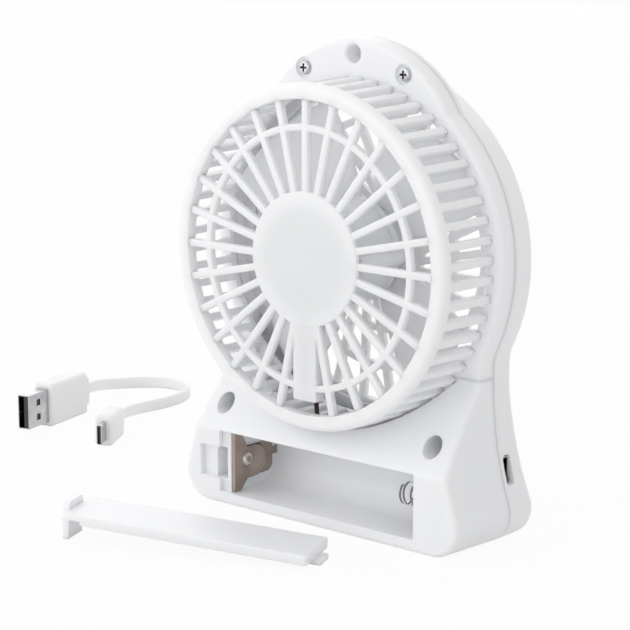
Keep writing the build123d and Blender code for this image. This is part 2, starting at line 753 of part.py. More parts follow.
def front_guard():
    """The front guard: a seated ring with a slightly domed, swirled grille and a plain hub."""
    ring_in_r = GUARD_R - GUARD_RING
    ring = turned(
        [
            (ring_in_r, FRONT_Y),
            (GUARD_R, FRONT_Y),
            (GUARD_R, FRONT_Y + GUARD_DEEP),
            (ring_in_r, FRONT_Y + GUARD_DEEP),
        ]
    )
    spoke_start = GUARD_HUB_R / 2
    spoke = Pos((spoke_start + ring_in_r) / 2, GUARD_SWIRL_R)
    spoke = spoke * Rectangle(ring_in_r - spoke_start + SPOKE_WIDE, SPOKE_WIDE)
    web = Circle(GUARD_HUB_R)
    for inset in GUARD_RING_INSETS:
        radius = GUARD_R - inset
        web += Circle(radius + RING_WIDE / 2) - Circle(radius - RING_WIDE / 2)
    web = web + [Rot(0, 0, 360.0 / SPOKES * k) * spoke for k in range(SPOKES)]
    web = web & Circle(ring_in_r + GUARD_RING / 2)
    web = slab(Pos(0, HEAD_Z) * web, FRONT_Y - 3 * GUARD_DOME, FRONT_Y + GUARD_DEEP)
    ball_r = (ring_in_r**2 + GUARD_DOME**2) / (2 * GUARD_DOME)
    ball_y = FRONT_Y - GUARD_DOME + ball_r
    dome = Pos(0, ball_y, HEAD_Z) * (Sphere(ball_r) - Sphere(ball_r - GUARD_THICK))
    return ring + (web & dome)


# Motor


def can_inner_r():
    """Inside radius of the motor's can."""
    return MOTOR_R - CAN_WALL


def motor_can():
    """The motor's drawn steel can with a nose for the front bush."""
    front_y = MOTOR_FRONT_Y
    can = rod(MOTOR_R, front_y, MOTOR_REAR_Y) - rod(can_inner_r(), front_y + CAN_WALL, MOTOR_REAR_Y)
    can += rod(CAN_BOSS_R, front_y - CAN_BOSS_H, front_y)
    return can - rod(BUSH_R, front_y - CAN_BOSS_H, front_y + CAN_WALL)


def motor_bushes():
    """The two sleeve bushes that carry the shaft."""
    front_y = MOTOR_FRONT_Y
    front = rod(BUSH_R, front_y - CAN_BOSS_H, front_y + CAN_WALL)
    rear = rod(BUSH_R, MOTOR_REAR_Y - END_CAP_THICK, MOTOR_REAR_Y)
    hole = rod(SHAFT_R + SHAFT_GAP, front_y - 2 * CAN_BOSS_H, MOTOR_REAR_Y + CAN_WALL)
    return Compound(children=[front - hole, rear - hole])


def motor_end_cap():
    """The plastic rear cap of the motor."""
    cap = rod(can_inner_r(), MOTOR_REAR_Y - END_CAP_THICK, MOTOR_REAR_Y)
    return cap - rod(BUSH_R, MOTOR_REAR_Y - END_CAP_THICK, MOTOR_REAR_Y)


def motor_magnets():
    """Two arc magnets against the can's wall."""
    front_y = CORE_FRONT_Y - MAGNET_OVERHANG
    rear_y = CORE_FRONT_Y + CORE_LONG + MAGNET_OVERHANG
    tube = rod(can_inner_r(), front_y, rear_y) - rod(can_inner_r() - MAGNET_THICK, front_y, rear_y)
    half_gap = can_inner_r() * cos(radians(MAGNET_SPAN / 2))
    gap = block((-half_gap, half_gap), (front_y, rear_y), (HEAD_Z - HEAD_R, HEAD_Z + HEAD_R))
    return Compound(children=list((tube - gap).solids()))


def armature_core():
    """The three-pole core."""
    tip_r = can_inner_r() - MAGNET_THICK - AIR_GAP
    face = Circle(POLE_ROOT_R)
    shoes = Circle(tip_r) - Circle(POLE_TIP_R)
    wedge = Pos(tip_r, 0) * Rectangle(tip_r, POLE_WIDE)
    for k in range(POLES):
        turn = Rot(0, 0, 360.0 / POLES * k)
        face += turn * Pos(POLE_TIP_R / 2, 0) * Rectangle(POLE_TIP_R, POLE_WIDE)
        shoes -= turn * Rot(0, 0, 180.0 / POLES) * wedge
    face += shoes
    core = slab(Pos(0, HEAD_Z) * face, CORE_FRONT_Y, CORE_FRONT_Y + CORE_LONG)
    return core - rod(SHAFT_R, CORE_FRONT_Y, CORE_FRONT_Y + CORE_LONG)


def armature_windings():
    """One coil round each pole."""
    middle_y = CORE_FRONT_Y + CORE_LONG / 2
    half_wide = POLE_WIDE / 2 + COIL_BUILD
    start = POLE_ROOT_R + FIT_GAP
    end = sqrt(POLE_TIP_R**2 - half_wide**2) - FIT_GAP
    outer = (end - start, CORE_LONG + 2 * COIL_BUILD, 2 * half_wide)
    inner = (POLE_TIP_R, CORE_LONG, POLE_WIDE)
    coil = Pos((start + end) / 2, middle_y, 0) * (Box(*outer) - Box(*inner))
    return Compound(children=around(coil, POLES))


def commutator():
    """The commutator on the shaft behind the core."""
    rear_y = MOTOR_REAR_Y - END_CAP_THICK - RUN_GAP
    front_y = rear_y - COMMUTATOR_LONG
    return rod(COMMUTATOR_R, front_y, rear_y) - rod(SHAFT_R, front_y, rear_y)


def motor_shaft():
    """The motor's shaft, from the fan wheel back to the rear bush."""
    return rod(SHAFT_R, SHAFT_FRONT_Y, MOTOR_REAR_Y - RUN_GAP)


def motor_brushes():
    """Two brushes on the end cap, just clear of the commutator."""
    rear_y = MOTOR_REAR_Y - END_CAP_THICK
    start = COMMUTATOR_R + FIT_GAP
    brush = block(
        (start, start + BRUSH_LONG),
        (rear_y - BRUSH_WIDE, rear_y),
        (HEAD_Z - BRUSH_WIDE / 2, HEAD_Z + BRUSH_WIDE / 2),
    )
    return Compound(children=mirrored(brush))


def terminal_z():
    """Height of the motor's two solder terminals."""
    return HEAD_Z - (can_inner_r() - CUP_LEDGE - CAN_WALL - BRUSH_WIDE / 2)


def motor_terminals():
    """Two solder tabs on the end cap."""
    rear_y = hub_in_y() - RUN_GAP
    tab = block(
        (WIRE_SIDE + 2 * WIRE_R, WIRE_SIDE + 2 * WIRE_R + PLATE_THICK),
        (MOTOR_REAR_Y, rear_y),
        (terminal_z() - BRUSH_WIDE / 2, terminal_z() + BRUSH_WIDE / 2),
    )
    return Compound(children=mirrored(tab))


def motor_clamp():
    """The ring that holds the motor in its cup, with an ear for each screw."""
    front_y = MOTOR_FRONT_Y
    ring_in_r = MOTOR_R + FIT_GAP
    ring_r = ring_in_r + CUP_WALL
    clamp = turned(
        [
            (CAN_BOSS_R + RUN_GAP, front_y - CLAMP_THICK),
            (ring_r, front_y - CLAMP_THICK),
            (ring_r, FLANGE_Y),
            (ring_in_r, FLANGE_Y),
            (ring_in_r, front_y),
            (CAN_BOSS_R + RUN_GAP, front_y),
        ]
    )
    ears = Part() + [rod(EAR_R, FLANGE_Y - CLAMP_THICK, FLANGE_Y, x) for x in clamp_screw_xs()]
    clamp += ears - rod(ring_in_r, FLANGE_Y - CLAMP_THICK, FLANGE_Y)
    return clamp - [rod(CLAMP_SCREW_R, FLANGE_Y - CLAMP_THICK, FLANGE_Y, x) for x in clamp_screw_xs()]


# Fan wheel


def blade_face(radius, wide, deep):
    """A cambered blade section in the plane square to the blade, at a radius."""
    lead = (BLADE_FRONT_Y, wide / 2)
    trail = (BLADE_FRONT_Y + deep, -wide / 2)
    middle = (BLADE_FRONT_Y + deep / 2 - BLADE_CAMBER, 0)
    front = ThreePointArc(lead, middle, trail)
    rear = ThreePointArc(
        (trail[0] + BLADE_THICK, trail[1]),
        (middle[0] + BLADE_THICK, middle[1]),
        (lead[0] + BLADE_THICK, lead[1]),
    )
    edges = [front, Line(front @ 1, rear @ 0), rear, Line(rear @ 1, front @ 0)]
    return Plane(origin=(radius, 0, 0), x_dir=(0, 1, 0), z_dir=(1, 0, 0)) * make_face(edges)


def impeller():
    """The moulded fan wheel: cup hub and four twisted blades."""
    rear_y = WHEEL_REAR_Y
    hub = rod(WHEEL_HUB_R, WHEEL_FRONT_Y, rear_y)
    hub = fillet(hub.edges().filter_by(GeomType.CIRCLE).group_by(Axis.Y)[0], WHEEL_WALL)
    hub -= rod(WHEEL_HUB_R - WHEEL_WALL, WHEEL_FRONT_Y + WHEEL_WALL, rear_y)
    hub += rod(WHEEL_BOSS_R, WHEEL_FRONT_Y + WHEEL_WALL, rear_y)
    root_r = WHEEL_HUB_R - WHEEL_WALL / 2
    sections = [
        blade_face(root_r, BLADE_ROOT_WIDE, BLADE_ROOT_DEEP),
        blade_face(BLADE_MID_R, BLADE_MID_WIDE, BLADE_MID_DEEP),
        blade_face(WHEEL_R, BLADE_TIP_WIDE, BLADE_TIP_DEEP),
    ]
    blade = loft(sections)
    blades = Part() + around(blade, BLADES, BLADE_TURN)
    sweep_space = rod(WHEEL_R, FRONT_Y, CAGE_REAR_Y) - rod(root_r, FRONT_Y, CAGE_REAR_Y)
    wheel = hub + (blades & sweep_space)
    return wheel - rod(SHAFT_R, SHAFT_FRONT_Y, rear_y)


# Screws


def pan_screw(x, z, head_y, tip_y):
    """A pan-head screw whose head sits behind head_y, with a cross recess."""
    head = rod(SCREW_HEAD_R, head_y, head_y + SCREW_HEAD_H, x, z)
    head = fillet(head.edges().filter_by(GeomType.CIRCLE).group_by(Axis.Y)[-1], SCREW_HEAD_H / 2)
    slot_y = (head_y + SCREW_HEAD_H / 2, head_y + 2 * SCREW_HEAD_H)
    long = CROSS_LONG / 2
    thin = CROSS_WIDE / 2
    cross = block((x - long, x + long), slot_y, (z - thin, z + thin))
    cross += block((x - thin, x + thin), slot_y, (z - long, z + long))
    return head - cross + rod(SCREW_R, tip_y, head_y, x, z)


def top_screws():
    """The two screws in the lug."""
    screws = [
        pan_screw(x, TOP_SCREW_Z, FLANGE_Y - SCREW_SINK, PART_Y - SCREW_BITE)
        for x in (TOP_SCREW_X, -TOP_SCREW_X)
    ]
    return Compound(children=screws)


def lower_screws():
    """The two screws at the bottom of the foot's wells."""
    screws = [
        pan_screw(x, LOW_SCREW_Z, LOW_SEAT_Y, PART_Y - 2 * SCREW_BITE)
        for x in (LOW_SCREW_X, -LOW_SCREW_X)
    ]
    return Compound(children=screws)


def small_screw(x, z, head_y, tip_y, outwards):
    """A small flat-topped screw; outwards is the side of head_y that its head lies on."""
    head_end = head_y + outwards * SMALL_HEAD_H
    head = rod(SMALL_HEAD_R, min(head_y, head_end), max(head_y, head_end), x, z)
    return head + rod(CLAMP_SCREW_R, min(head_y, tip_y), max(head_y, tip_y), x, z)


def motor_clamp_screws():
    """The two screws of the motor clamp."""
    head_y = FLANGE_Y - CLAMP_THICK
    tip_y = FLANGE_Y + SCREW_BITE * 2
    return Compound(children=[small_screw(x, HEAD_Z, head_y, tip_y, -1) for x in clamp_screw_xs()])


def board_screws():
    """The screws that hold the circuit board."""
    head_y = BOARD_FRONT_Y + BOARD_THICK
    tip_y = BOARD_FRONT_Y - SCREW_BITE
    return Compound(children=[small_screw(x, z, head_y, tip_y, 1) for x, z in BOARD_SCREWS])


# Circuit board, socket, switch and button


def main_board():
    """The charging and speed board."""
    board = block(BOARD_X, (BOARD_FRONT_Y, BOARD_FRONT_Y + BOARD_THICK), BOARD_Z)
    holes = [
        rod(CLAMP_SCREW_R, BOARD_FRONT_Y, BOARD_FRONT_Y + BOARD_THICK, x, z) for x, z in BOARD_SCREWS
    ]
    return board - holes


def board_components():
    """Charger chip, boost chip, choke, capacitors and lamp on the board's front."""
    chip_y = BOARD_FRONT_Y - CHIP_SIZE[1] / 2
    small_y = BOARD_FRONT_Y - SMALL_CHIP[1] / 2
    pieces = [Pos(x, chip_y, BUTTON_Z) * Box(*CHIP_SIZE) for x in CHIP_XS]
    pieces.append(rod(CHOKE_R, BOARD_FRONT_Y - CHOKE_HIGH, BOARD_FRONT_Y, CHOKE_X, BUTTON_Z))
    for k in range(SMALL_CHIPS):
        pieces.append(Pos(CHIP_XS[0] + SMALL_CHIP_STEP * k, small_y, SMALL_CHIP_Z) * Box(*SMALL_CHIP))
    pieces.append(Pos(LENS_X, small_y, BUTTON_Z) * Box(*SMALL_CHIP))
    return Compound(children=pieces)


def usb_socket():
    """The micro-USB socket's folded metal shell, mouth towards the case side."""
    low_y = BOARD_FRONT_Y - SOCKET_HIGH
    back_x = SOCKET_MOUTH_X + SOCKET_LONG
    shell = block(
        (SOCKET_MOUTH_X, back_x),
        (low_y, BOARD_FRONT_Y),
        (SOCKET_Z - SOCKET_WIDE / 2, SOCKET_Z + SOCKET_WIDE / 2),
    )
    shell = fillet(shell.edges().filter_by(Axis.X), SOCKET_HIGH / 4)
    room = block(
        (SOCKET_MOUTH_X, back_x - SOCKET_WALL),
        (low_y + SOCKET_WALL, BOARD_FRONT_Y - SOCKET_WALL),
        (SOCKET_Z - SOCKET_WIDE / 2 + SOCKET_WALL, SOCKET_Z + SOCKET_WIDE / 2 - SOCKET_WALL),
    )
    return shell - fillet(room.edges().filter_by(Axis.X), SOCKET_HIGH / 4 - SOCKET_WALL)


def usb_tongue():
    """The socket's contact tongue."""
    back_x = SOCKET_MOUTH_X + SOCKET_LONG - SOCKET_WALL
    middle_y = BOARD_FRONT_Y - SOCKET_HIGH / 2
    return block(
        (SOCKET_MOUTH_X + SLOT_GAP, back_x),
        (middle_y - SOCKET_WALL, middle_y + SOCKET_WALL),
        (SOCKET_Z - SOCKET_WIDE / 4, SOCKET_Z + SOCKET_WIDE / 4),
    )


def switch_front_y():
    """Front face of the tact switch's body."""
    return BOARD_FRONT_Y - SWITCH_HIGH


def switch_body():
    """The tact switch's body, bored for its plunger."""
    half = SWITCH_SIZE / 2
    body = block((-half, half), (switch_front_y(), BOARD_FRONT_Y), (BUTTON_Z - half, BUTTON_Z + half))
    bore_end = switch_front_y() + 2 * PLUNGER_UP
    return body - rod(PLUNGER_R + FIT_GAP, switch_front_y(), bore_end, 0, BUTTON_Z)


def switch_plunger():
    """The tact switch's plunger."""
    tip_y = switch_front_y() - PLUNGER_UP
    return rod(PLUNGER_R, tip_y, switch_front_y() + PLUNGER_UP / 2, 0, BUTTON_Z)


def power_button():
    """The round push button, flanged behind the case wall and resting on the switch."""
    tip_y = switch_front_y() - PLUNGER_UP
    flange_y = tip_y - FIT_GAP - BUTTON_FLANGE_H
    face_y = front_face_y(BUTTON_Z) - BUTTON_PROUD
    cap = rod(BUTTON_R, face_y, flange_y, 0, BUTTON_Z)
    cap = fillet(cap.edges().filter_by(GeomType.CIRCLE).group_by(Axis.Y)[0], BUTTON_FLANGE_H)
    button = cap + rod(BUTTON_FLANGE_R, flange_y, flange_y + BUTTON_FLANGE_H, 0, BUTTON_Z)
    return button + rod(BUTTON_STEM_R, flange_y, tip_y, 0, BUTTON_Z)


def indicator_lens():
    """The clear light pipe beside the button."""
    face_y = front_face_y(BUTTON_Z) - LENS_PROUD
    return rod(LENS_R, face_y, BOARD_FRONT_Y - SMALL_CHIP[1] - RUN_GAP, LENS_X, BUTTON_Z)


# Battery contacts


def door_faces_y():
    """Depths of the closed door's inner and outer faces."""
    outer_y = BASE_REAR_Y + DOOR_PROUD
    return outer_y - DOOR_THICK, outer_y


def plate_strip_y():
    """Inner and outer edge of the positive contact's strip at the bay's mouth."""
    out = door_faces_y()[0] - RUN_GAP
    return out - PLATE_STRIP_WIDE, out


def plate_face(end_y, end_round):
    """The positive contact's outline in Y and Z: a strip at the mouth and a tongue with rounded corners."""
    low, high = BAY_LOW_Z + RUN_GAP, BAY_HIGH_Z - RUN_GAP
    strip_in, strip_out = plate_strip_y()
    waist_y = strip_in - PLATE_WAIST
    tongue_low = CELL_Z - PLATE_TONGUE_LOW - PLATE_TONGUE_HALF
    tongue_high = tongue_low + 2 * PLATE_TONGUE_HALF
    face = Polygon(
        (strip_out, low),
        (strip_out, high),
        (strip_in, high),
        (waist_y, tongue_high),
        (end_y, tongue_high),
        (end_y, tongue_low),
        (waist_y, tongue_low),
        (strip_in, low),
        align=None,
    )
    corners = [v for v in face.vertices() if abs(v.X - end_y) < 0.01]
    return fillet(corners, end_round)


def positive_contact():
    """The stamped plate on the bay's latch end, folded at the mouth into two leaves, with a raised dimple."""
    tail_start = PLATE_BACK_Y + PLATE_BACK_ROUND
    tail = Pos((BOARD_FRONT_Y + tail_start) / 2, CELL_Z) * Rectangle(tail_start - BOARD_FRONT_Y, TAIL_WIDE)
    back = extrude(Plane.YZ * (plate_face(PLATE_BACK_Y, PLATE_BACK_ROUND) + tail), amount=PLATE_THICK)
    front = extrude(Plane.YZ * plate_face(PLATE_BEND_Y, PLATE_TONGUE_HALF - FIT_GAP), amount=PLATE_THICK)
    back_x = BAY_LEFT_X - PLATE_THICK
    fold_x = back_x - PLATE_STEP
    strip_out = plate_strip_y()[1]
    bend = block(
        (fold_x, BAY_LEFT_X),
        (strip_out - PLATE_THICK, strip_out),
        (BAY_LOW_Z + RUN_GAP, BAY_HIGH_Z - RUN_GAP),
    )
    plate = Pos(back_x, 0, 0) * back + Pos(fold_x, 0, 0) * front + bend
    ball_r = (DIMPLE_R**2 + DIMPLE_HIGH**2) / (2 * DIMPLE_HIGH)
    ball = Pos(fold_x - DIMPLE_HIGH + ball_r, DIMPLE_Y, CELL_Z) * Sphere(ball_r)
    cap = block(
        (fold_x - DIMPLE_HIGH, fold_x + PLATE_THICK / 2),
        (DIMPLE_Y - DIMPLE_R, DIMPLE_Y + DIMPLE_R),
        (CELL_Z - DIMPLE_R, CELL_Z + DIMPLE_R),
    )
    return plate + (ball & cap)


def spring_seat_x():
    """The face that the coil spring stands on."""
    return BAY_RIGHT_X - BAY_UNDERCUT + PLATE_THICK


def negative_plate():
    """The plate under the coil spring."""
    half = NEGATIVE_SIZE / 2
    tail_end = BOARD_FRONT_Y + BOARD_THICK
    face = Pos(CELL_Y, CELL_Z) * RectangleRounded(NEGATIVE_SIZE, NEGATIVE_SIZE, half / 3)
    face += Pos((tail_end + CELL_Y) / 2, CELL_Z) * Rectangle(CELL_Y - tail_end, TAIL_WIDE)
    plate = extrude(Plane.YZ * face, amount=PLATE_THICK)
    return Pos(spring_seat_x() - PLATE_THICK, 0, 0) * plate


def biarc(start, start_dir, end, end_dir):
    """Two arcs that join two points with the tangents given at each."""
    chord = end - start
    total = start_dir + end_dir
    lean = 2 * (1 - start_dir.dot(end_dir))
    along = chord.dot(total)
    reach = (sqrt(along**2 + lean * chord.dot(chord)) - along) / lean
    joint = (start + start_dir * reach + end - end_dir * reach) * 0.5
    first = TangentArc(start, joint, tangent=start_dir)
    return [first, TangentArc(joint, end, tangent=first % 1)]


def negative_spring():
    """The coil spring: one round wire wound about X, standing square on its plate."""
    seat_x = spring_seat_x()
    coil_start = seat_x + 3 * SPRING_WIRE
    pitch = (SPRING_LONG - 3 * SPRING_WIRE) / SPRING_TURNS
    rise = pitch / (2 * pi)

    def at(turn):
        angle = 2 * pi * turn
        side_y, side_z = SPRING_R * cos(angle), SPRING_R * sin(angle)
        place = Vector(coil_start + pitch * turn, CELL_Y + side_y, CELL_Z + side_z)
        way = Vector(rise, -side_z, side_y).normalized()
        return place, way

    along_x = Vector(1, 0, 0)
    foot = Vector(seat_x, CELL_Y, CELL_Z - SPRING_R)
    knee = foot + along_x * SPRING_WIRE
    path = [Line(foot, knee)]
    place, way = at(0)
    path += biarc(knee, along_x, place, way)
    for quarter in range(4 * SPRING_TURNS):
        next_place, next_way = at((quarter + 1) / 4)
        path += biarc(place, way, next_place, next_way)
        place, way = next_place, next_way
    path.append(Line(place, place + way * SPRING_WIRE))
    wire = Wire(path)
    count = int(2 * wire.length / SPRING_WIRE)
    samples = [wire @ (k / count) for k in range(count + 1)]
    skip = int(4 * SPRING_WIRE * count / wire.length)
    nearest = min((a - b).length for i, a in enumerate(samples) for b in samples[i + skip :])
    print("spring wire length", round(wire.length, 1), "least gap to itself", round(nearest - SPRING_WIRE, 2))
    return sweep(Plane(origin=foot, z_dir=along_x) * Circle(SPRING_WIRE / 2), path=wire)


# Wires


def wire_along(points, bend):
    """A round wire along straight runs joined by bends."""
    path = FilletPolyline(*points, radius=bend)
    start = Plane(origin=points[0], z_dir=path % 0)
    return sweep(start * Circle(WIRE_R), path=path)


def motor_wire(side, deeper):
    """A motor wire: from its terminal, down the channel, through the flank and the foot to the board."""
    x = side * WIRE_SIDE
    run_y = CAGE_REAR_Y - SPOKE_SINK - CHANNEL_WALL - 2 * WIRE_R
    low_z = (BAY_HIGH_Z + BAY_WALL + HEAD_Z - CAGE_FOOT_R - CAGE_GAP - SHELL_WALL) / 2
    flank_z = HEAD_Z - CHANNEL_END_R
    points = [(x, run_y, terminal_z())]
    if deeper:
        points.append((x, run_y, HEAD_Z - cup_bore_r() - CUP_WALL))
    points += [
        (x, run_y - deeper, flank_z),
        (x, WIRE_DROP_Y, flank_z - 2 * WIRE_BEND),
        (x, WIRE_DROP_Y, low_z),
        (x, BOARD_FRONT_Y + BOARD_THICK, low_z),
    ]
    return wire_along(points, WIRE_BEND)


def motor_wire_red():
    """The motor's positive wire, in front of the other one at the channel's end."""
    return motor_wire(1, WIRE_STAGGER)


def motor_wire_black():
    """The motor's negative wire."""
    return motor_wire(-1, 0.0)


def battery_wire_red():
    """From the positive contact's tail to the board."""
    tail_x = BAY_LEFT_X - PLATE_THICK
    middle = ((tail_x + BOARD_X[1]) / 2, BOARD_FRONT_Y + BOARD_THICK / 2, CELL_Z)
    return Pos(*middle) * Rot(0, 90, 0) * Cylinder(BOARD_THICK / 2, tail_x - BOARD_X[1])


# Battery door


def door_ends_x():
    """Limits in X of the door's plate: its tongue's end and its latch's end."""
    return BAY_RIGHT_X + DOOR_GAP, BAY_LEFT_X + STEP_WIDE - DOOR_GAP


def latch_leg_y():
    """Depth of the latch leg's end, just clear of its pocket's floor."""
    return BASE_REAR_Y - LATCH_POCKET_DEEP + DOOR_GAP


def tongue_y():
    """Depths of the end tongue, just under the bay's lip."""
    top = BASE_REAR_Y - SHELL_WALL - DOOR_GAP
    return top - TONGUE_THICK, top


def door_closed():
    """The door as it sits over the bay: skirted plate, end tongue, and latch wall with its finger lip."""
    inner_y, outer_y = door_faces_y()
    low_z, high_z = BAY_LOW_Z + DOOR_GAP, BAY_HIGH_Z - DOOR_GAP
    end_x, start_x = door_ends_x()
    plate = block((end_x, start_x), (inner_y, outer_y), (low_z, high_z))
    plate = fillet(plate.edges().filter_by(Axis.Y), DOOR_THICK / 2)
    plate = fillet(plate.faces().sort_by(Axis.Y)[-1].edges(), DOOR_THICK / 4)

    skirt_x = (end_x, BAY_LEFT_X - PLATE_THICK - PLATE_STEP - DOOR_GAP)
    skirt = block(skirt_x, (inner_y - DOOR_SKIRT_DEEP, outer_y - DOOR_THICK / 2), (low_z, high_z))
    skirt = fillet(skirt.edges().filter_by(Axis.Y), DOOR_THICK / 2)
    skirt -= block(
        (skirt_x[0] + DOOR_SKIRT_THICK, skirt_x[1]),
        (inner_y - DOOR_SKIRT_DEEP, inner_y),
        (low_z + DOOR_SKIRT_THICK, high_z - DOOR_SKIRT_THICK),
    )

    latch_z = (LATCH_LOW_Z + DOOR_GAP, LATCH_HIGH_Z - DOOR_GAP)
    wall_x = (start_x, start_x + LATCH_LEG_THICK)
    wall = block(wall_x, (latch_leg_y(), outer_y + LATCH_LIP_UP), latch_z)
    lip_corners = [edge for edge in wall.edges().filter_by(Axis.X) if edge.center().Y > outer_y]
    wall = fillet(lip_corners, LATCH_LIP_ROUND)
    bump_place = Pos(wall_x[1], inner_y - DOOR_THICK, (latch_z[0] + latch_z[1]) / 2)
    bump = bump_place * Cylinder(LATCH_BUMP_R, latch_z[1] - latch_z[0])

    low_y, top_y = tongue_y()
    wide = (CELL_Z - TONGUE_WIDE / 2, CELL_Z + TONGUE_WIDE / 2)
    tongue = block((end_x - TONGUE_LONG, end_x + TONGUE_LONG), (low_y, top_y), wide)
    root = block((end_x, end_x + TONGUE_LONG), (low_y, inner_y), wide)
    return plate + [skirt, wall, bump, tongue, root]


def battery_door():
    """The door taken off: outer face up, leaning on its latch leg and its end tongue."""
    door = door_closed()
    end_x, start_x = door_ends_x()
    tip_x = end_x - TONGUE_LONG
    lean = degrees(atan2(tongue_y()[0] - latch_leg_y(), start_x - tip_x))
    flat = Rot(0, -lean, 0) * (Rot(90, 0, 0) * (Pos(-tip_x, 0, -CELL_Z) * door))
    turned_door = Rot(0, 0, DOOR_YAW) * flat
    return Pos(DOOR_AT[0], DOOR_AT[1], -turned_door.bounding_box().min.Z) * turned_door


# Charging lead


def on_edge(x_span, high, thick, round_r):
    """A plug body along X from the cord's end outwards, standing on edge about its own axis."""
    body = block(x_span, (-thick / 2, thick / 2), (-high / 2, high / 2))
    return fillet(body.edges().filter_by(Axis.X), round_r)


def plug_place(route_end, route_next):
    """The place of a plug on one end of the cord: at the end, pointing away from the next point."""
    heading = degrees(atan2(route_end[1] - route_next[1], route_end[0] - route_next[0]))
    return Pos(*route_end) * Rot(0, 0, heading)


def usb_place():
    """Place of the USB-A plug."""
    return plug_place(CORD_ROUTE[0], CORD_ROUTE[1])


def micro_place():
    """Place of the micro-USB plug."""
    return plug_place(CORD_ROUTE[-1], CORD_ROUTE[-2])


def bevelled_end(body, size):
    """A plug body with the edges round its outer end bevelled."""
    return chamfer(body.faces().sort_by(Axis.X)[-1].edges(), size)


def usb_plug_grip():
    """The USB-A plug's moulded grip, stepped down to a neck at the cord."""
    body = on_edge((PLUG_NECK_LONG, PLUG_GRIP_LONG), PLUG_GRIP_HIGH, PLUG_GRIP_THICK, PLUG_GRIP_ROUND)
    body = bevelled_end(body, PLUG_GRIP_BEVEL)
    neck_high = PLUG_GRIP_HIGH - 2 * PLUG_NECK_STEP
    neck = on_edge((0, PLUG_NECK_LONG), neck_high, PLUG_GRIP_THICK - PLUG_NECK_STEP, PLUG_GRIP_ROUND)
    return usb_place() * (body + neck)


def usb_plug_shell():
    """The USB-A plug's metal shell, with its four windows."""
    span = (PLUG_GRIP_LONG, PLUG_GRIP_LONG + PLUG_SHELL_LONG)
    half_y, half_z = PLUG_SHELL_THICK / 2, PLUG_SHELL_HIGH / 2
    room_y, room_z = half_y - PLUG_SHELL_WALL, half_z - PLUG_SHELL_WALL
    shell = block(span, (-half_y, half_y), (-half_z, half_z))
    room = block(span, (-room_y, room_y), (-room_z, room_z))
    window_x = PLUG_GRIP_LONG + PLUG_WINDOW_FROM
    half = PLUG_WINDOW / 2
    windows = [
        block((window_x, window_x + PLUG_WINDOW), (-PLUG_SHELL_THICK, PLUG_SHELL_THICK), (z - half, z + half))
        for z in (-PLUG_WINDOW_SIDE, PLUG_WINDOW_SIDE)
    ]
    return usb_place() * (shell - room - windows)


def usb_plug_insert():
    """The USB-A plug's contact block, filling one side of the shell."""
    span = (PLUG_GRIP_LONG, PLUG_GRIP_LONG + PLUG_SHELL_LONG - PLUG_SHELL_WALL)
    side_y = PLUG_SHELL_THICK / 2 - PLUG_SHELL_WALL
    half_z = PLUG_SHELL_HIGH / 2 - PLUG_SHELL_WALL
    return usb_place() * block(span, (side_y - PLUG_INSERT_THICK, side_y), (-half_z, half_z))


def micro_plug_grip():
    """The micro-USB plug's moulded grip, tapered towards the cord."""
    straight = (MICRO_TAPER_LONG, MICRO_GRIP_LONG)
    body = on_edge(straight, MICRO_GRIP_HIGH, MICRO_GRIP_THICK, MICRO_GRIP_ROUND)
    body = bevelled_end(body, PLUG_GRIP_BEVEL)
    neck = Plane.YZ * RectangleRounded(MICRO_NECK_THICK, MICRO_NECK_HIGH, MICRO_GRIP_ROUND)
    wide = Plane.YZ * RectangleRounded(MICRO_GRIP_THICK, MICRO_GRIP_HIGH, MICRO_GRIP_ROUND)
    taper = loft([neck, Pos(MICRO_TAPER_LONG, 0, 0) * wide], ruled=True)
    return micro_place() * (body + taper)


def micro_plug_tip():
    """The micro-USB plug's metal tip."""
    span = (MICRO_GRIP_LONG, MICRO_GRIP_LONG + MICRO_TIP_LONG)
    wall = MICRO_TIP_WALL
    tip = on_edge(span, MICRO_TIP_HIGH, MICRO_TIP_THICK, MICRO_TIP_THICK / 4)
    mouth = (span[1] - MICRO_TIP_LONG / 2, span[1])
    room = block(
        mouth,
        (-MICRO_TIP_THICK / 2 + wall, MICRO_TIP_THICK / 2 - wall),
        (-MICRO_TIP_HIGH / 2 + wall, MICRO_TIP_HIGH / 2 - wall),
    )
    return micro_place() * (tip - room)


def route_radii(route):
    """Each corner's largest radius: 0.45 of its shorter run over the tangent of half the turn."""
    points = [Vector(*p) for p in route]
    radii = []
    for before, here, after in zip(points, points[1:], points[2:]):
        first, second = here - before, after - here
        turn = radians(first.get_angle(second))
        radii.append(0.45 * min(first.length, second.length) / tan(turn / 2))
    return radii


def lead_cord():
    """The flat cord, standing on edge, from plug to plug."""
    radii = route_radii(CORD_ROUTE)
    print("cord bend radii", [round(r, 1) for r in radii])
    path = FilletPolyline(*CORD_ROUTE, radius=radii)
    start = Plane(origin=CORD_ROUTE[0], x_dir=(0, 0, 1), z_dir=path % 0)
    section = RectangleRounded(CORD_WIDE, CORD_THICK, CORD_ROUND)
    cord = sweep(start * section, path=path, binormal=(0, 0, 1))
    share = cord.volume / (section.area * path.length)
    print("cord length", round(path.length, 1), "volume over section times length", round(share, 4))
    return cord


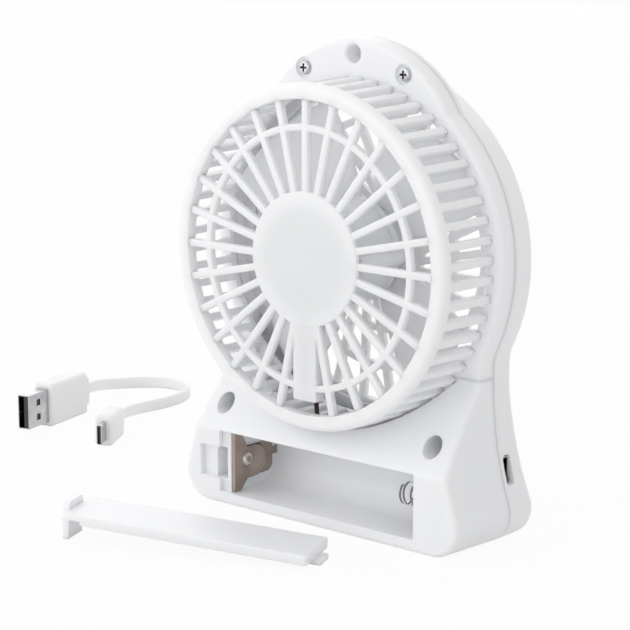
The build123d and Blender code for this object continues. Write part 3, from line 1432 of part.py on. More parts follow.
NODES = {
    "rear_shell": rear_shell,
    "rear_foot": rear_foot,
    "cage_flank": cage_flank,
    "cage_grille": cage_grille,
    "motor_cup": motor_cup,
    "front_shell": front_shell,
    "front_guard": front_guard,
    "impeller": impeller,
    "motor_can": motor_can,
    "motor_bushes": motor_bushes,
    "motor_end_cap": motor_end_cap,
    "motor_magnets": motor_magnets,
    "armature_core": armature_core,
    "armature_windings": armature_windings,
    "commutator": commutator,
    "motor_shaft": motor_shaft,
    "motor_brushes": motor_brushes,
    "motor_terminals": motor_terminals,
    "motor_clamp": motor_clamp,
    "motor_clamp_screws": motor_clamp_screws,
    "top_screws": top_screws,
    "lower_screws": lower_screws,
    "board_screws": board_screws,
    "main_board": main_board,
    "board_components": board_components,
    "usb_socket": usb_socket,
    "usb_tongue": usb_tongue,
    "switch_body": switch_body,
    "switch_plunger": switch_plunger,
    "power_button": power_button,
    "indicator_lens": indicator_lens,
    "positive_contact": positive_contact,
    "negative_plate": negative_plate,
    "negative_spring": negative_spring,
    "motor_wire_red": motor_wire_red,
    "motor_wire_black": motor_wire_black,
    "battery_wire_red": battery_wire_red,
    "battery_door": battery_door,
    "usb_plug_shell": usb_plug_shell,
    "usb_plug_insert": usb_plug_insert,
    "usb_plug_grip": usb_plug_grip,
    "lead_cord": lead_cord,
    "micro_plug_grip": micro_plug_grip,
    "micro_plug_tip": micro_plug_tip,
}


def main():
    """Writes every piece to its own file."""
    os.makedirs("parts", exist_ok=True)
    for name, make in NODES.items():
        export_step(make(), f"parts/{name}.step")


if __name__ == "__main__":
    main()
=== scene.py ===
"""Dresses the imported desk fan: soft-edged cage, wound wire, charging lead, finishes, light and camera."""

import json
import logging
import math
from collections.abc import Sequence
from dataclasses import dataclass, replace
from enum import Enum

import bmesh
import bpy
from mathutils import Matrix, Vector


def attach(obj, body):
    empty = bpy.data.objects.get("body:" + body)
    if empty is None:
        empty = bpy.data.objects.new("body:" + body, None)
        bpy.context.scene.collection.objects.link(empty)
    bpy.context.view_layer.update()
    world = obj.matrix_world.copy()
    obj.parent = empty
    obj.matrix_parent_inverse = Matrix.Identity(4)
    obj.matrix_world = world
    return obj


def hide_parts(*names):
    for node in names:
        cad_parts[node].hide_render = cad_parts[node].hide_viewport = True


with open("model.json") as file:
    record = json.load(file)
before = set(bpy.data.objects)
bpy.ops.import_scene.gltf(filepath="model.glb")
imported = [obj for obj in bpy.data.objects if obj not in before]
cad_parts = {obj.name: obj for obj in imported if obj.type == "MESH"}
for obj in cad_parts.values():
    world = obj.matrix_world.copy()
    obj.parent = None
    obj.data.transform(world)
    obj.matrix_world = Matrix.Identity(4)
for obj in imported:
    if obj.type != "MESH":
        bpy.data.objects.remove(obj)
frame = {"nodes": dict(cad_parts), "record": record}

Point = tuple[float, float, float]
Colour = tuple[float, float, float]
Span = tuple[float, float]
Socket = bpy.types.NodeSocket

LOG = logging.getLogger("desk_fan")
MM = 0.001
TO_METRES = Matrix.Scale(MM, 4)
FULL_TURN = 2 * math.pi
WHITE = (1.0, 1.0, 1.0, 1.0)
BLACK = (0.0, 0.0, 0.0, 1.0)

# The height of the fan axis and the middle of the positive contact's dimple, in millimetres.
HEAD_Z = 82.0
CONTACT_DIMPLE: Point = (32.9, 10.2, 13.7)


class Body(Enum):
    """The bodies that pieces ride on."""

    FAN = "fan"
    ROTOR = "rotor"
    LEAD = "lead"


class Slot(Enum):
    """The material slots that the new pieces take."""

    CASE_WHITE = "case_white"
    BLACK_PLASTIC = "black_plastic"
    SPRING_STEEL = "spring_steel"
    BUSH_BRASS = "bush_brass"
    COIL_COPPER = "coil_copper"
    WIRE_RED = "wire_red"
    WIRE_BLACK = "wire_black"
    CORD_WHITE = "cord_white"


def put(name: str, data: bpy.types.ID) -> bpy.types.Object:
    """Makes an object and puts it in the scene.

    Args:
        name: The object's name.
        data: Its mesh, curve, light or camera.

    Returns:
        The object.
    """
    thing = bpy.data.objects.new(name, data)
    bpy.context.scene.collection.objects.link(thing)
    return thing


def settled(thing: bpy.types.Object) -> bpy.types.Mesh:
    """Makes a mesh of an object as its modifiers or its curve settings leave it.

    Args:
        thing: The object.

    Returns:
        The mesh.
    """
    graph = bpy.context.evaluated_depsgraph_get()
    graph.update()
    return bpy.data.meshes.new_from_object(thing.evaluated_get(graph))


class NodeDesk:
    """One material's node tree, with short ways to add and join nodes; lengths are in millimetres."""

    NOISE_ROUGHNESS = 0.55
    # Noise levels between which the tint and the gloss change over.
    TINT_SPAN: Span = (0.32, 0.68)
    GLOSS_SPAN: Span = (0.3, 0.7)
    # Openness of a surface in the open and deep in a crevice.
    CREVICE_SPAN: Span = (0.93, 0.72)
    CREVICE_SAMPLES = 8
    EDGE_SAMPLES = 4
    # On the way in from a halo's outer radius to its inner one: where it is full and where it has gone again.
    HALO_FULL = 0.55
    HALO_GONE = 1.35
    # Places of the Mix node's colour sockets.
    MIX_FACTOR = 0
    MIX_UNDER = 6
    MIX_OVER = 7
    MIX_RESULT = 2

    def __init__(self, name: str) -> None:
        """Starts a material with its own shader.

        Args:
            name: The material's name.
        """
        self.material = bpy.data.materials.new(name)
        self.material.use_nodes = True
        self.tree = self.material.node_tree
        self.shader = self.tree.nodes["Principled BSDF"]

    def add(self, kind: str, sockets: dict[str, object] | None = None) -> bpy.types.Node:
        """Adds a node.

        Args:
            kind: Blender's name for the node type.
            sockets: Values for its input sockets.

        Returns:
            The new node.
        """
        node = self.tree.nodes.new(kind)
        for name, value in (sockets or {}).items():
            node.inputs[name].default_value = value
        return node

    def set(self, **values: object) -> None:
        """Sets constants on the shader's own sockets, named with underscores for spaces."""
        for name, value in values.items():
            self.shader.inputs[name.replace("_", " ")].default_value = value

    def speckle(self, size: float, stretch: Point = (1.0, 1.0, 1.0), detail: float = 2.0) -> Socket:
        """Adds noise in the piece's own coordinates.

        Args:
            size: Size of a speck.
            stretch: How much finer the noise is along each axis.
            detail: Octaves of finer noise.

        Returns:
            The noise's value.
        """
        place = self.add("ShaderNodeTexCoord")
        mapping = self.add("ShaderNodeMapping", {"Scale": stretch})
        noise = self.add(
            "ShaderNodeTexNoise",
            {"Scale": 1.0 / (size * MM), "Detail": detail, "Roughness": self.NOISE_ROUGHNESS},
        )
        self.tree.links.new(place.outputs["Object"], mapping.inputs["Vector"])
        self.tree.links.new(mapping.outputs["Vector"], noise.inputs["Vector"])
        return noise.outputs["Fac"]

    def paint(self, factor: Socket, dark: Colour, light: Colour) -> None:
        """Colours the shader between two tints.

        Args:
            factor: The value that chooses between them.
            dark: The tint of its low spots.
            light: The tint of its high spots.
        """
        ramp = self.add("ShaderNodeValToRGB")
        for stop, position, tint in zip(ramp.color_ramp.elements, self.TINT_SPAN, (dark, light)):
            stop.position = position
            stop.color = (*tint, 1.0)
        self.tree.links.new(factor, ramp.inputs["Fac"])
        self.tree.links.new(ramp.outputs["Color"], self.shader.inputs["Base Color"])

    def tint(self, factor: Socket, colour: Colour) -> None:
        """Lays a second tint over the shader's colour.

        Args:
            factor: How much of the tint shows.
            colour: The tint.
        """
        base = self.shader.inputs["Base Color"]
        under = base.links[0].from_socket
        mix = self.add("ShaderNodeMix")
        mix.data_type = "RGBA"
        mix.inputs[self.MIX_OVER].default_value = (*colour, 1.0)
        self.tree.links.new(factor, mix.inputs[self.MIX_FACTOR])
        self.tree.links.new(under, mix.inputs[self.MIX_UNDER])
        self.tree.links.new(mix.outputs[self.MIX_RESULT], base)

    def halo(self, centre: Point, inner: float, outer: float) -> Socket:
        """Finds a soft ring around a point.

        Args:
            centre: The point.
            inner: Radius where the ring is still full, before it fades towards the point.
            outer: Radius where it has faded away outwards.

        Returns:
            1 on the ring, 0 inside and outside it.
        """
        place = self.add("ShaderNodeTexCoord")
        mapping = self.add(
            "ShaderNodeMapping", {"Location": [value * MM for value in centre], "Scale": [outer * MM] * 3}
        )
        mapping.vector_type = "TEXTURE"
        ball = self.add("ShaderNodeTexGradient")
        ball.gradient_type = "SPHERICAL"
        ramp = self.add("ShaderNodeValToRGB")
        stops = ramp.color_ramp.elements
        inner_level = 1.0 - inner / outer
        for position in (inner_level * self.HALO_FULL, inner_level):
            stops.new(position).color = WHITE
        stops[0].color = BLACK
        stops[-1].position = min(1.0, inner_level * self.HALO_GONE)
        stops[-1].color = BLACK
        self.tree.links.new(place.outputs["Object"], mapping.inputs["Vector"])
        self.tree.links.new(mapping.outputs["Vector"], ball.inputs["Vector"])
        self.tree.links.new(ball.outputs["Fac"], ramp.inputs["Fac"])
        return ramp.outputs["Color"]

    def crevice(self, reach: float) -> Socket:
        """Finds the piece's own narrow places.

        Args:
            reach: How near another face of the piece has to be.

        Returns:
            1 deep in a crevice, 0 in the open.
        """
        # Ambient occlusion of the piece's own faces; the finishes that use it paint shade into their colour
        # with it.
        near = self.add("ShaderNodeAmbientOcclusion", {"Distance": reach * MM})
        near.only_local = True
        near.samples = self.CREVICE_SAMPLES
        in_open, in_deep = self.CREVICE_SPAN
        spread = self.add("ShaderNodeMapRange", {"From Min": in_open, "From Max": in_deep})
        self.tree.links.new(near.outputs["AO"], spread.inputs["Value"])
        return spread.outputs["Result"]

    def polish(self, factor: Socket, gloss: Span) -> None:
        """Varies the shader's roughness.

        Args:
            factor: The value that it follows.
            gloss: Roughness at the value's low and high spots.
        """
        low, high = self.GLOSS_SPAN
        spread = self.add(
            "ShaderNodeMapRange", {"From Min": low, "From Max": high, "To Min": gloss[0], "To Max": gloss[1]}
        )
        self.tree.links.new(factor, spread.inputs["Value"])
        self.tree.links.new(spread.outputs["Result"], self.shader.inputs["Roughness"])

    def relief(self, heights: Sequence[tuple[Socket, float]], edge: float) -> None:
        """Bumps the surface over edges that look softened.

        Args:
            heights: Values and how deep each one's relief is.
            edge: Radius of the softened edges, or 0 where the mesh has its own.
        """
        normal = None
        if edge:
            round_edge = self.add("ShaderNodeBevel", {"Radius": edge * MM})
            round_edge.samples = self.EDGE_SAMPLES
            normal = round_edge.outputs["Normal"]
        for height, depth in heights:
            bump = self.add("ShaderNodeBump", {"Strength": 1.0, "Distance": depth * MM})
            self.tree.links.new(height, bump.inputs["Height"])
            if normal:
                self.tree.links.new(normal, bump.inputs["Normal"])
            normal = bump.outputs["Normal"]
        self.tree.links.new(normal, self.shader.inputs["Normal"])


@dataclass(frozen=True)
class Moulded:
    """Moulded plastic or rubber: faintly cloudy colour, a fine spark texture, shallow sinks and soft edges.

    Its milk is how much light it carries inside it, how far and in what tint.
    """

    name: str
    dark: Colour
    light: Colour
    gloss: Span
    grain: float = 0.22
    depth: float = 0.008
    edge: float = 0.3
    milk: float = 0.0
    milk_reach: float = 2.5
    milk_tint: Colour = (1.0, 0.95, 0.92)
    cloud_size: float = 22.0
    gloss_size: float = 3.0
    sink_size: float = 14.0
    sink_detail: float = 1.0
    sink_depth: float = 0.12

    def make(self) -> bpy.types.Material:
        """Makes the material."""
        desk = NodeDesk(self.name)
        spark = desk.speckle(self.grain)
        sink = desk.speckle(self.sink_size, detail=self.sink_detail)
        desk.paint(desk.speckle(self.cloud_size), self.dark, self.light)
        desk.polish(desk.speckle(self.gloss_size), self.gloss)
        desk.relief([(sink, self.sink_depth), (spark, self.depth)], self.edge)
        desk.set(Subsurface_Weight=self.milk, Subsurface_Scale=self.milk_reach * MM)
        desk.set(Subsurface_Radius=self.milk_tint)
        return desk.material


@dataclass(frozen=True)
class Metal:
    """Bare or plated metal: drawing lines along one axis and a faint stain."""

    name: str
    dark: Colour
    light: Colour
    gloss: Span
    lines: Point = (1.0, 1.0, 1.0)
    stain: float = 3.0
    depth: float = 0.004
    edge: float = 0.12
    line_size: float = 0.35
    line_detail: float = 3.0
    stain_detail: float = 4.0

    def make(self) -> bpy.types.Material:
        """Makes the material."""
        desk = NodeDesk(self.name)
        drawn = desk.speckle(self.line_size, self.lines, self.line_detail)
        desk.paint(desk.speckle(self.stain, detail=self.stain_detail), self.dark, self.light)
        # Lays any painted shade and painted highlight of the finish into its colour.
        self.paint_shade_and_highlight(desk)
        desk.polish(drawn, self.gloss)
        desk.relief([(drawn, self.depth)], self.edge)
        desk.set(Metallic=1.0)
        return desk.material

    def paint_shade_and_highlight(self, desk: NodeDesk) -> None:
        """Paints no shade or highlight into the colour."""


@dataclass(frozen=True)
class PaintedLightMetal(Metal):
    """Plated metal with painted shade darkening its crevices and, where it has a spot, a painted highlight
    ring around it.
    """

    stain_detail: float = 2.0
    spot: Point | None = None
    # Inner and outer radius of the painted highlight ring around the spot.
    ring: Span = (1.25, 2.4)
    # Colour of the painted highlight.
    painted_highlight: Colour = (0.74, 0.7, 0.66)
    # Colour of the painted shade in the crevices.
    painted_shade: Colour = (0.03, 0.022, 0.018)
    # How near the piece's own faces come where the painted shade falls.
    reach: float = 2.6

    def paint_shade_and_highlight(self, desk: NodeDesk) -> None:
        """Paints shade into the crevices and paints the highlight ring around the spot."""
        # Painted shade: the colour goes dark where the piece's own faces close in.
        desk.tint(desk.crevice(self.reach), self.painted_shade)
        if self.spot:
            # Painted highlight: the colour goes bright on a ring around the spot.
            desk.tint(desk.halo(self.spot, *self.ring), self.painted_highlight)


@dataclass(frozen=True)
class Masked:
    """A circuit board's solder mask over faint copper tracks."""

    name: str
    mask: Colour
    track: Colour
    gloss: Span = (0.28, 0.4)
    gloss_size: float = 0.4
    track_size: float = 2.2
    track_run: Point = (1.0, 1.0, 3.0)
    depth: float = 0.03
    edge: float = 0.1

    def make(self) -> bpy.types.Material:
        """Makes the material."""
        desk = NodeDesk(self.name)
        tracks = desk.speckle(self.track_size, self.track_run, detail=0.0)
        desk.paint(tracks, self.mask, self.track)
        desk.polish(desk.speckle(self.gloss_size), self.gloss)
        desk.relief([(tracks, self.depth)], self.edge)
        return desk.material


@dataclass(frozen=True)
class Clear:
    """A clear light pipe with faintly uneven gloss."""

    name: str
    dark: Colour
    light: Colour
    gloss: Span
    cloud_size: float = 1.5
    gloss_size: float = 0.6
    clearness: float = 0.85
    index: float = 1.49

    def make(self) -> bpy.types.Material:
        """Makes the material."""
        desk = NodeDesk(self.name)
        desk.paint(desk.speckle(self.cloud_size), self.dark, self.light)
        desk.polish(desk.speckle(self.gloss_size), self.gloss)
        desk.set(Transmission_Weight=self.clearness, IOR=self.index)
        return desk.material


CASE_WHITE = Moulded(
    "case_white", (0.932, 0.941, 0.967), (0.948, 0.956, 0.978), (0.28, 0.4), edge=0.06, milk=0.5
)
FINISHES = (
    CASE_WHITE,
    replace(CASE_WHITE, name="cage_white", edge=0.0, milk=0.8, milk_reach=4.0),
    replace(CASE_WHITE, name="guard_white", milk=0.9, milk_reach=5.0),
    Moulded(
        "wheel_white", (0.936, 0.944, 0.966), (0.954, 0.961, 0.977), (0.3, 0.42), milk=0.9, milk_reach=5.0
    ),
    Moulded("button_grey", (0.56, 0.59, 0.62), (0.61, 0.64, 0.67), (0.35, 0.5)),
    Moulded("black_plastic", (0.006, 0.006, 0.007), (0.012, 0.012, 0.013), (0.35, 0.5), edge=0.1),
    Masked("board_green", (0.012, 0.11, 0.035), (0.02, 0.16, 0.055)),
    Clear("lens_clear", (0.86, 0.9, 0.93), (0.95, 0.97, 0.98), (0.04, 0.12)),
    Metal("motor_steel", (0.5, 0.5, 0.51), (0.6, 0.6, 0.61), (0.22, 0.36), (1.0, 6.0, 1.0)),
    Metal("core_steel", (0.24, 0.24, 0.25), (0.32, 0.32, 0.33), (0.35, 0.5), (0.2, 8.0, 0.2)),
    # Screw steel with painted shade in its recesses.
    PaintedLightMetal(
        "screw_steel", (0.55, 0.56, 0.58), (0.68, 0.69, 0.71), (0.2, 0.34),
        depth=0.006, painted_shade=(0.03, 0.03, 0.03),
    ),
    # Socket steel with painted shade deep inside the shell.
    PaintedLightMetal(
        "socket_steel", (0.47, 0.47, 0.48), (0.57, 0.57, 0.58), (0.16, 0.28), (1.0, 1.0, 5.0),
        painted_shade=(0.02, 0.02, 0.021), reach=5.0,
    ),
    Metal("spring_steel", (0.3, 0.3, 0.31), (0.42, 0.42, 0.43), (0.14, 0.26), depth=0.002),
    # Bronze with painted shade in its folds and a painted highlight ring around the dimple.
    PaintedLightMetal(
        "contact_bronze", (0.34, 0.275, 0.235), (0.44, 0.365, 0.32), (0.12, 0.22), (1.0, 4.0, 1.0),
        stain=7.0, depth=0.002, spot=CONTACT_DIMPLE,
    ),
    Metal("bush_brass", (0.46, 0.29, 0.1), (0.58, 0.38, 0.15), (0.3, 0.45)),
    Metal("coil_copper", (0.42, 0.14, 0.055), (0.55, 0.21, 0.08), (0.2, 0.34)),
    Moulded("insert_dark", (0.025, 0.025, 0.026), (0.04, 0.04, 0.041), (0.35, 0.5), edge=0.1),
    Moulded("magnet_dark", (0.02, 0.02, 0.022), (0.035, 0.035, 0.038), (0.5, 0.65), edge=0.15),
    Moulded("wire_red", (0.42, 0.01, 0.01), (0.5, 0.016, 0.014), (0.3, 0.42), edge=0.05),
    Moulded("wire_black", (0.005, 0.005, 0.006), (0.01, 0.01, 0.011), (0.55, 0.7), edge=0.05),
    Moulded("cord_white", (0.88, 0.885, 0.895), (0.91, 0.915, 0.922), (0.36, 0.5), milk=0.4, edge=0.35),
)

# Nodes that look unlike the rest of their slot.
OWN_FINISH = {"front_guard": "guard_white", "usb_plug_insert": "insert_dark"}


class Paintshop:
    """Makes each finish once and puts it on nodes and pieces."""

    def __init__(self) -> None:
        """Makes every finish."""
        self.materials = {finish.name: finish.make() for finish in FINISHES}

    def dress(self, piece: bpy.types.Object, finish: str) -> None:
        """Gives a piece one finish.

        Args:
            piece: The piece or node.
            finish: The finish's name.
        """
        piece.data.materials.clear()
        piece.data.materials.append(self.materials[finish])

    def dress_nodes(self) -> None:
        """Gives every CAD node its slot's finish, or its own where it looks unlike the slot."""
        for row in frame["record"]["subparts"]:
            finish = OWN_FINISH.get(row["node"], row["material_slot"])
            self.dress(frame["nodes"][row["node"]], finish)
            LOG.info("dressed %s in %s", row["node"], finish)


class Form:
    """One closed form on the bench, in millimetres, shaped by mesh operators."""

    CORNER_SEGMENTS = 6
    EDGE_SEGMENTS = 3
    COIL_SIDES = 10
    COIL_STEPS = 36
    LOOP_SIDES = 8
    LOOP_STEPS = 16
    AXIS_REACH = 1e-6
    MERGE_REACH = 1e-4

    def __init__(self) -> None:
        """Starts empty."""
        self.bm = bmesh.new()

    @classmethod
    def block(cls, low: Point, high: Point, soft: float = 0.0) -> "Form":
        """Makes a block between two corners.

        Args:
            low: Its lowest corner.
            high: Its highest corner.
            soft: Width of the bevel on its edges.

        Returns:
            The form.
        """
        form = cls()
        middle = (Vector(low) + Vector(high)) / 2
        size = Vector(high) - Vector(low)
        place = Matrix.Translation(middle) @ Matrix.Diagonal((*size, 1.0))
        bmesh.ops.create_cube(form.bm, size=1.0, matrix=place)
        return form.soften(soft) if soft else form

    @classmethod
    def ring(cls, corners: Sequence[Point], steps: int) -> "Form":
        """Turns a ring about the fan axis.

        Args:
            corners: Radius, depth and rounding of each corner of its section; a disc has two at radius 0.
            steps: Steps of the turn.

        Returns:
            The form.
        """
        form = cls()
        bm = form.bm
        verts = [bm.verts.new((radius, depth, HEAD_Z)) for radius, depth, _ in corners]
        bm.faces.new(verts)
        for vert, (_, _, rounding) in zip(verts, corners):
            if rounding:
                bmesh.ops.bevel(
                    bm, geom=[vert], offset=rounding, segments=cls.CORNER_SEGMENTS, profile=0.5,
                    affect="VERTICES", material=-1,
                )
        bmesh.ops.delete(bm, geom=bm.faces[:], context="FACES_ONLY")
        on_axis = [edge for edge in bm.edges if all(vert.co.x < cls.AXIS_REACH for vert in edge.verts)]
        bmesh.ops.delete(bm, geom=on_axis, context="EDGES")
        bmesh.ops.spin(
            bm, geom=bm.verts[:] + bm.edges[:], cent=(0, 0, HEAD_Z), axis=(0, 1, 0), angle=FULL_TURN,
            steps=steps, use_merge=True,
        )
        return form.closed()

    @classmethod
    def coil(cls, start: Point, centre: Point, wire: float, turns: Sequence[Span]) -> "Form":
        """Winds round wire about an axis along X.

        Args:
            start: The middle of the wire's end.
            centre: A point on the axis.
            wire: The wire's diameter.
            turns: For each stretch, its turns and its pitch.

        Returns:
            The form.
        """
        form = cls()
        bm = form.bm
        place = Matrix.Translation(start)
        bmesh.ops.create_circle(bm, cap_ends=False, segments=cls.COIL_SIDES, radius=wire / 2, matrix=place)
        last = bm.verts[:] + bm.edges[:]
        for count, pitch in turns:
            steps = round(count * cls.COIL_STEPS)
            last = bmesh.ops.spin(
                bm, geom=last, cent=centre, axis=(1, 0, 0), angle=FULL_TURN * count, steps=steps,
                dvec=(pitch * count / steps, 0, 0), use_merge=False,
            )["geom_last"]
        bmesh.ops.holes_fill(bm, edges=[edge for edge in bm.edges if edge.is_boundary], sides=0)
        return form.closed()

    @classmethod
    def loop(cls, half_y: float, half_z: float, corner: float, wire: float) -> "Form":
        """Bends wire into one closed turn about X, with straight sides between round corners.

        Args:
            half_y: Half its length along Y.
            half_z: Half its width along Z.
            corner: Radius of its corners.
            wire: The wire's diameter.

        Returns:
            The form.
        """
        form = cls()
        bm = form.bm
        half_step = Matrix.Rotation(FULL_TURN / cls.LOOP_STEPS / 2, 4, "X")
        place = half_step @ Matrix.Translation((0, corner, 0))
        bmesh.ops.create_circle(bm, cap_ends=False, segments=cls.LOOP_SIDES, radius=wire / 2, matrix=place)
        bmesh.ops.spin(
            bm, geom=bm.verts[:] + bm.edges[:], cent=(0, 0, 0), axis=(1, 0, 0), angle=FULL_TURN,
            steps=cls.LOOP_STEPS, use_merge=True,
        )
        for vert in bm.verts:
            vert.co.y += math.copysign(half_y - corner, vert.co.y)
            vert.co.z += math.copysign(half_z - corner, vert.co.z)
        return form.closed()

    def closed(self) -> "Form":
        """Merges doubles and turns the faces outwards."""
        bmesh.ops.remove_doubles(self.bm, verts=self.bm.verts[:], dist=self.MERGE_REACH)
        bmesh.ops.recalc_face_normals(self.bm, faces=self.bm.faces[:])
        return self

    def soften(self, width: float) -> "Form":
        """Bevels every edge by a width."""
        bmesh.ops.bevel(
            self.bm, geom=self.bm.edges[:], offset=width, segments=self.EDGE_SEGMENTS, profile=0.5,
            affect="EDGES", material=-1,
        )
        return self

    def move(self, place: Matrix) -> "Form":
        """Moves or turns the whole form."""
        bmesh.ops.transform(self.bm, matrix=place, verts=self.bm.verts[:])
        return self

    def around(self, count: int, first: float = 0.0, skip: int = 0) -> "Form":
        """Repeats the form about the fan axis.

        Args:
            count: How many fill the circle.
            first: Turn of the first one from +X towards -Z, in degrees.
            skip: How many are left out before the first.

        Returns:
            The form with its copies.
        """
        axis = Matrix.Translation((0, 0, HEAD_Z))
        self.move(axis @ Matrix.Rotation(math.radians(first), 4, "Y") @ axis.inverted())
        copies = count - 1 - skip
        bmesh.ops.spin(
            self.bm, geom=self.bm.verts[:] + self.bm.edges[:] + self.bm.faces[:], cent=(0, 0, HEAD_Z),
            axis=(0, 1, 0), angle=FULL_TURN * copies / count, steps=copies, use_duplicate=True,
        )
        return self

    def pour(self, mesh: bpy.types.Mesh) -> bpy.types.Mesh:
        """Fills a mesh with the form, in metres, and clears the bench.

        Args:
            mesh: The mesh to fill.

        Returns:
            The same mesh.
        """
        self.move(TO_METRES)
        self.bm.to_mesh(mesh)
        self.bm.free()
        return mesh


class Piece:
    """A finished object made of forms, in one finish, riding on one body."""

    SHARP_FROM = math.radians(40)

    def __init__(self, name: str, body: Body, slot: Slot, shop: Paintshop, finish: str = "") -> None:
        """Starts an empty piece.

        Args:
            name: Its name.
            body: The body that it rides on.
            slot: Its material slot.
            shop: Where its finish comes from.
            finish: Its finish, if that isn't the slot's own.
        """
        self.mesh = bpy.data.meshes.new(name)
        self.name = name
        self.body = body
        self.slot = slot
        self.look = finish or slot.value
        self.shop = shop
        self.bm = bmesh.new()

    def add(self, form: Form) -> "Piece":
        """Joins a form to the piece."""
        return self.add_mesh(form.pour(self.mesh))

    def add_mesh(self, mesh: bpy.types.Mesh) -> "Piece":
        """Joins a mesh in metres to the piece."""
        self.bm.from_mesh(mesh)
        return self

    def unite(self, *forms: Form) -> "Piece":
        """Joins overlapping forms into one skin and adds it."""
        solids = [put("form", form.pour(bpy.data.meshes.new("form"))) for form in forms]
        for solid in solids[1:]:
            join = solids[0].modifiers.new("join", "BOOLEAN")
            join.operation = "UNION"
            join.solver = "MANIFOLD"
            join.object = solid
        skin = settled(solids[0])
        for solid in solids:
            bpy.data.objects.remove(solid)
        return self.add_mesh(skin)

    def finish(self, *stands_for: str) -> bpy.types.Object:
        """Makes the object.

        Args:
            stands_for: The CAD nodes that it replaces.

        Returns:
            The object.
        """
        self.bm.to_mesh(self.mesh)
        self.bm.free()
        self.mesh.shade_smooth()
        self.mesh.set_sharp_from_angle(angle=self.SHARP_FROM)
        piece = put(self.name, self.mesh)
        self.shop.dress(piece, self.look)
        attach(piece, self.body.value)
        if stands_for:
            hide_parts(*stands_for)
        LOG.info("made %s, %d faces", self.name, len(self.mesh.polygons))
        return piece


class Strand:
    """A smooth line through route points in millimetres, and tubes along it."""

    LINE_STEPS = 10
    LINE_ORDER = 3
    TUBE_STEPS = 4
    CORNER_SEGMENTS = 4

    def __init__(self, name: str, route: Sequence[Point]) -> None:
        """Lays the line.

        Args:
            name: The line's name.
            route: Its control points.
        """
        self.curve = bpy.data.curves.new(name, "CURVE")
        self.curve.dimensions = "3D"
        self.curve.twist_mode = "Z_UP"
        self.curve.resolution_u = self.LINE_STEPS
        spline = self.curve.splines.new("NURBS")
        spline.points.add(len(route) - 1)
        for point, (x, y, z) in zip(spline.points, route):
            point.co = (x * MM, y * MM, z * MM, 1.0)
        spline.order_u = self.LINE_ORDER
        spline.use_endpoint_u = True
        self.object = put(name, self.curve)

    def points(self) -> list[Vector]:
        """Points along the bare line, in metres."""
        return [vert.co.copy() for vert in settled(self.object).vertices]

    def round_tube(self, radius: float) -> bpy.types.Mesh:
        """A round tube along the line, with closed ends.

        Args:
            radius: The tube's radius.

        Returns:
            The tube's mesh.
        """
        self.curve.bevel_depth = radius * MM
        self.curve.bevel_resolution = self.TUBE_STEPS
        self.curve.use_fill_caps = True
        return settled(self.object)

    def flat_tube(self, wide: float, thick: float, rounding: float) -> bpy.types.Mesh:
        """A flat tube along the line, standing on edge, with closed ends.

        Args:
            wide: Its height on edge.
            thick: Its thickness.
            rounding: Radius of its section's corners.

        Returns:
            The tube's mesh.
        """
        outline = bmesh.new()
        size = Matrix.Diagonal((thick * MM, wide * MM, 1.0, 1.0))
        bmesh.ops.create_grid(outline, x_segments=1, y_segments=1, size=0.5, matrix=size)
        bmesh.ops.bevel(
            outline, geom=outline.verts[:], offset=rounding * MM, segments=self.CORNER_SEGMENTS, profile=0.5,
            affect="VERTICES", material=-1,
        )
        section = bpy.data.curves.new("section", "CURVE")
        rim = outline.faces[:][0].verts
        spline = section.splines.new("POLY")
        spline.points.add(len(rim) - 1)
        for point, vert in zip(spline.points, rim):
            point.co = (*vert.co, 1.0)
        spline.use_cyclic_u = True
        outline.free()
        shape = put("section", section)
        self.curve.bevel_mode = "OBJECT"
        self.curve.bevel_object = shape
        self.curve.use_fill_caps = True
        tube = settled(self.object)
        bpy.data.objects.remove(shape)
        return tube

    def clear(self) -> None:
        """Takes the line away once its tubes are made."""
        bpy.data.objects.remove(self.object)


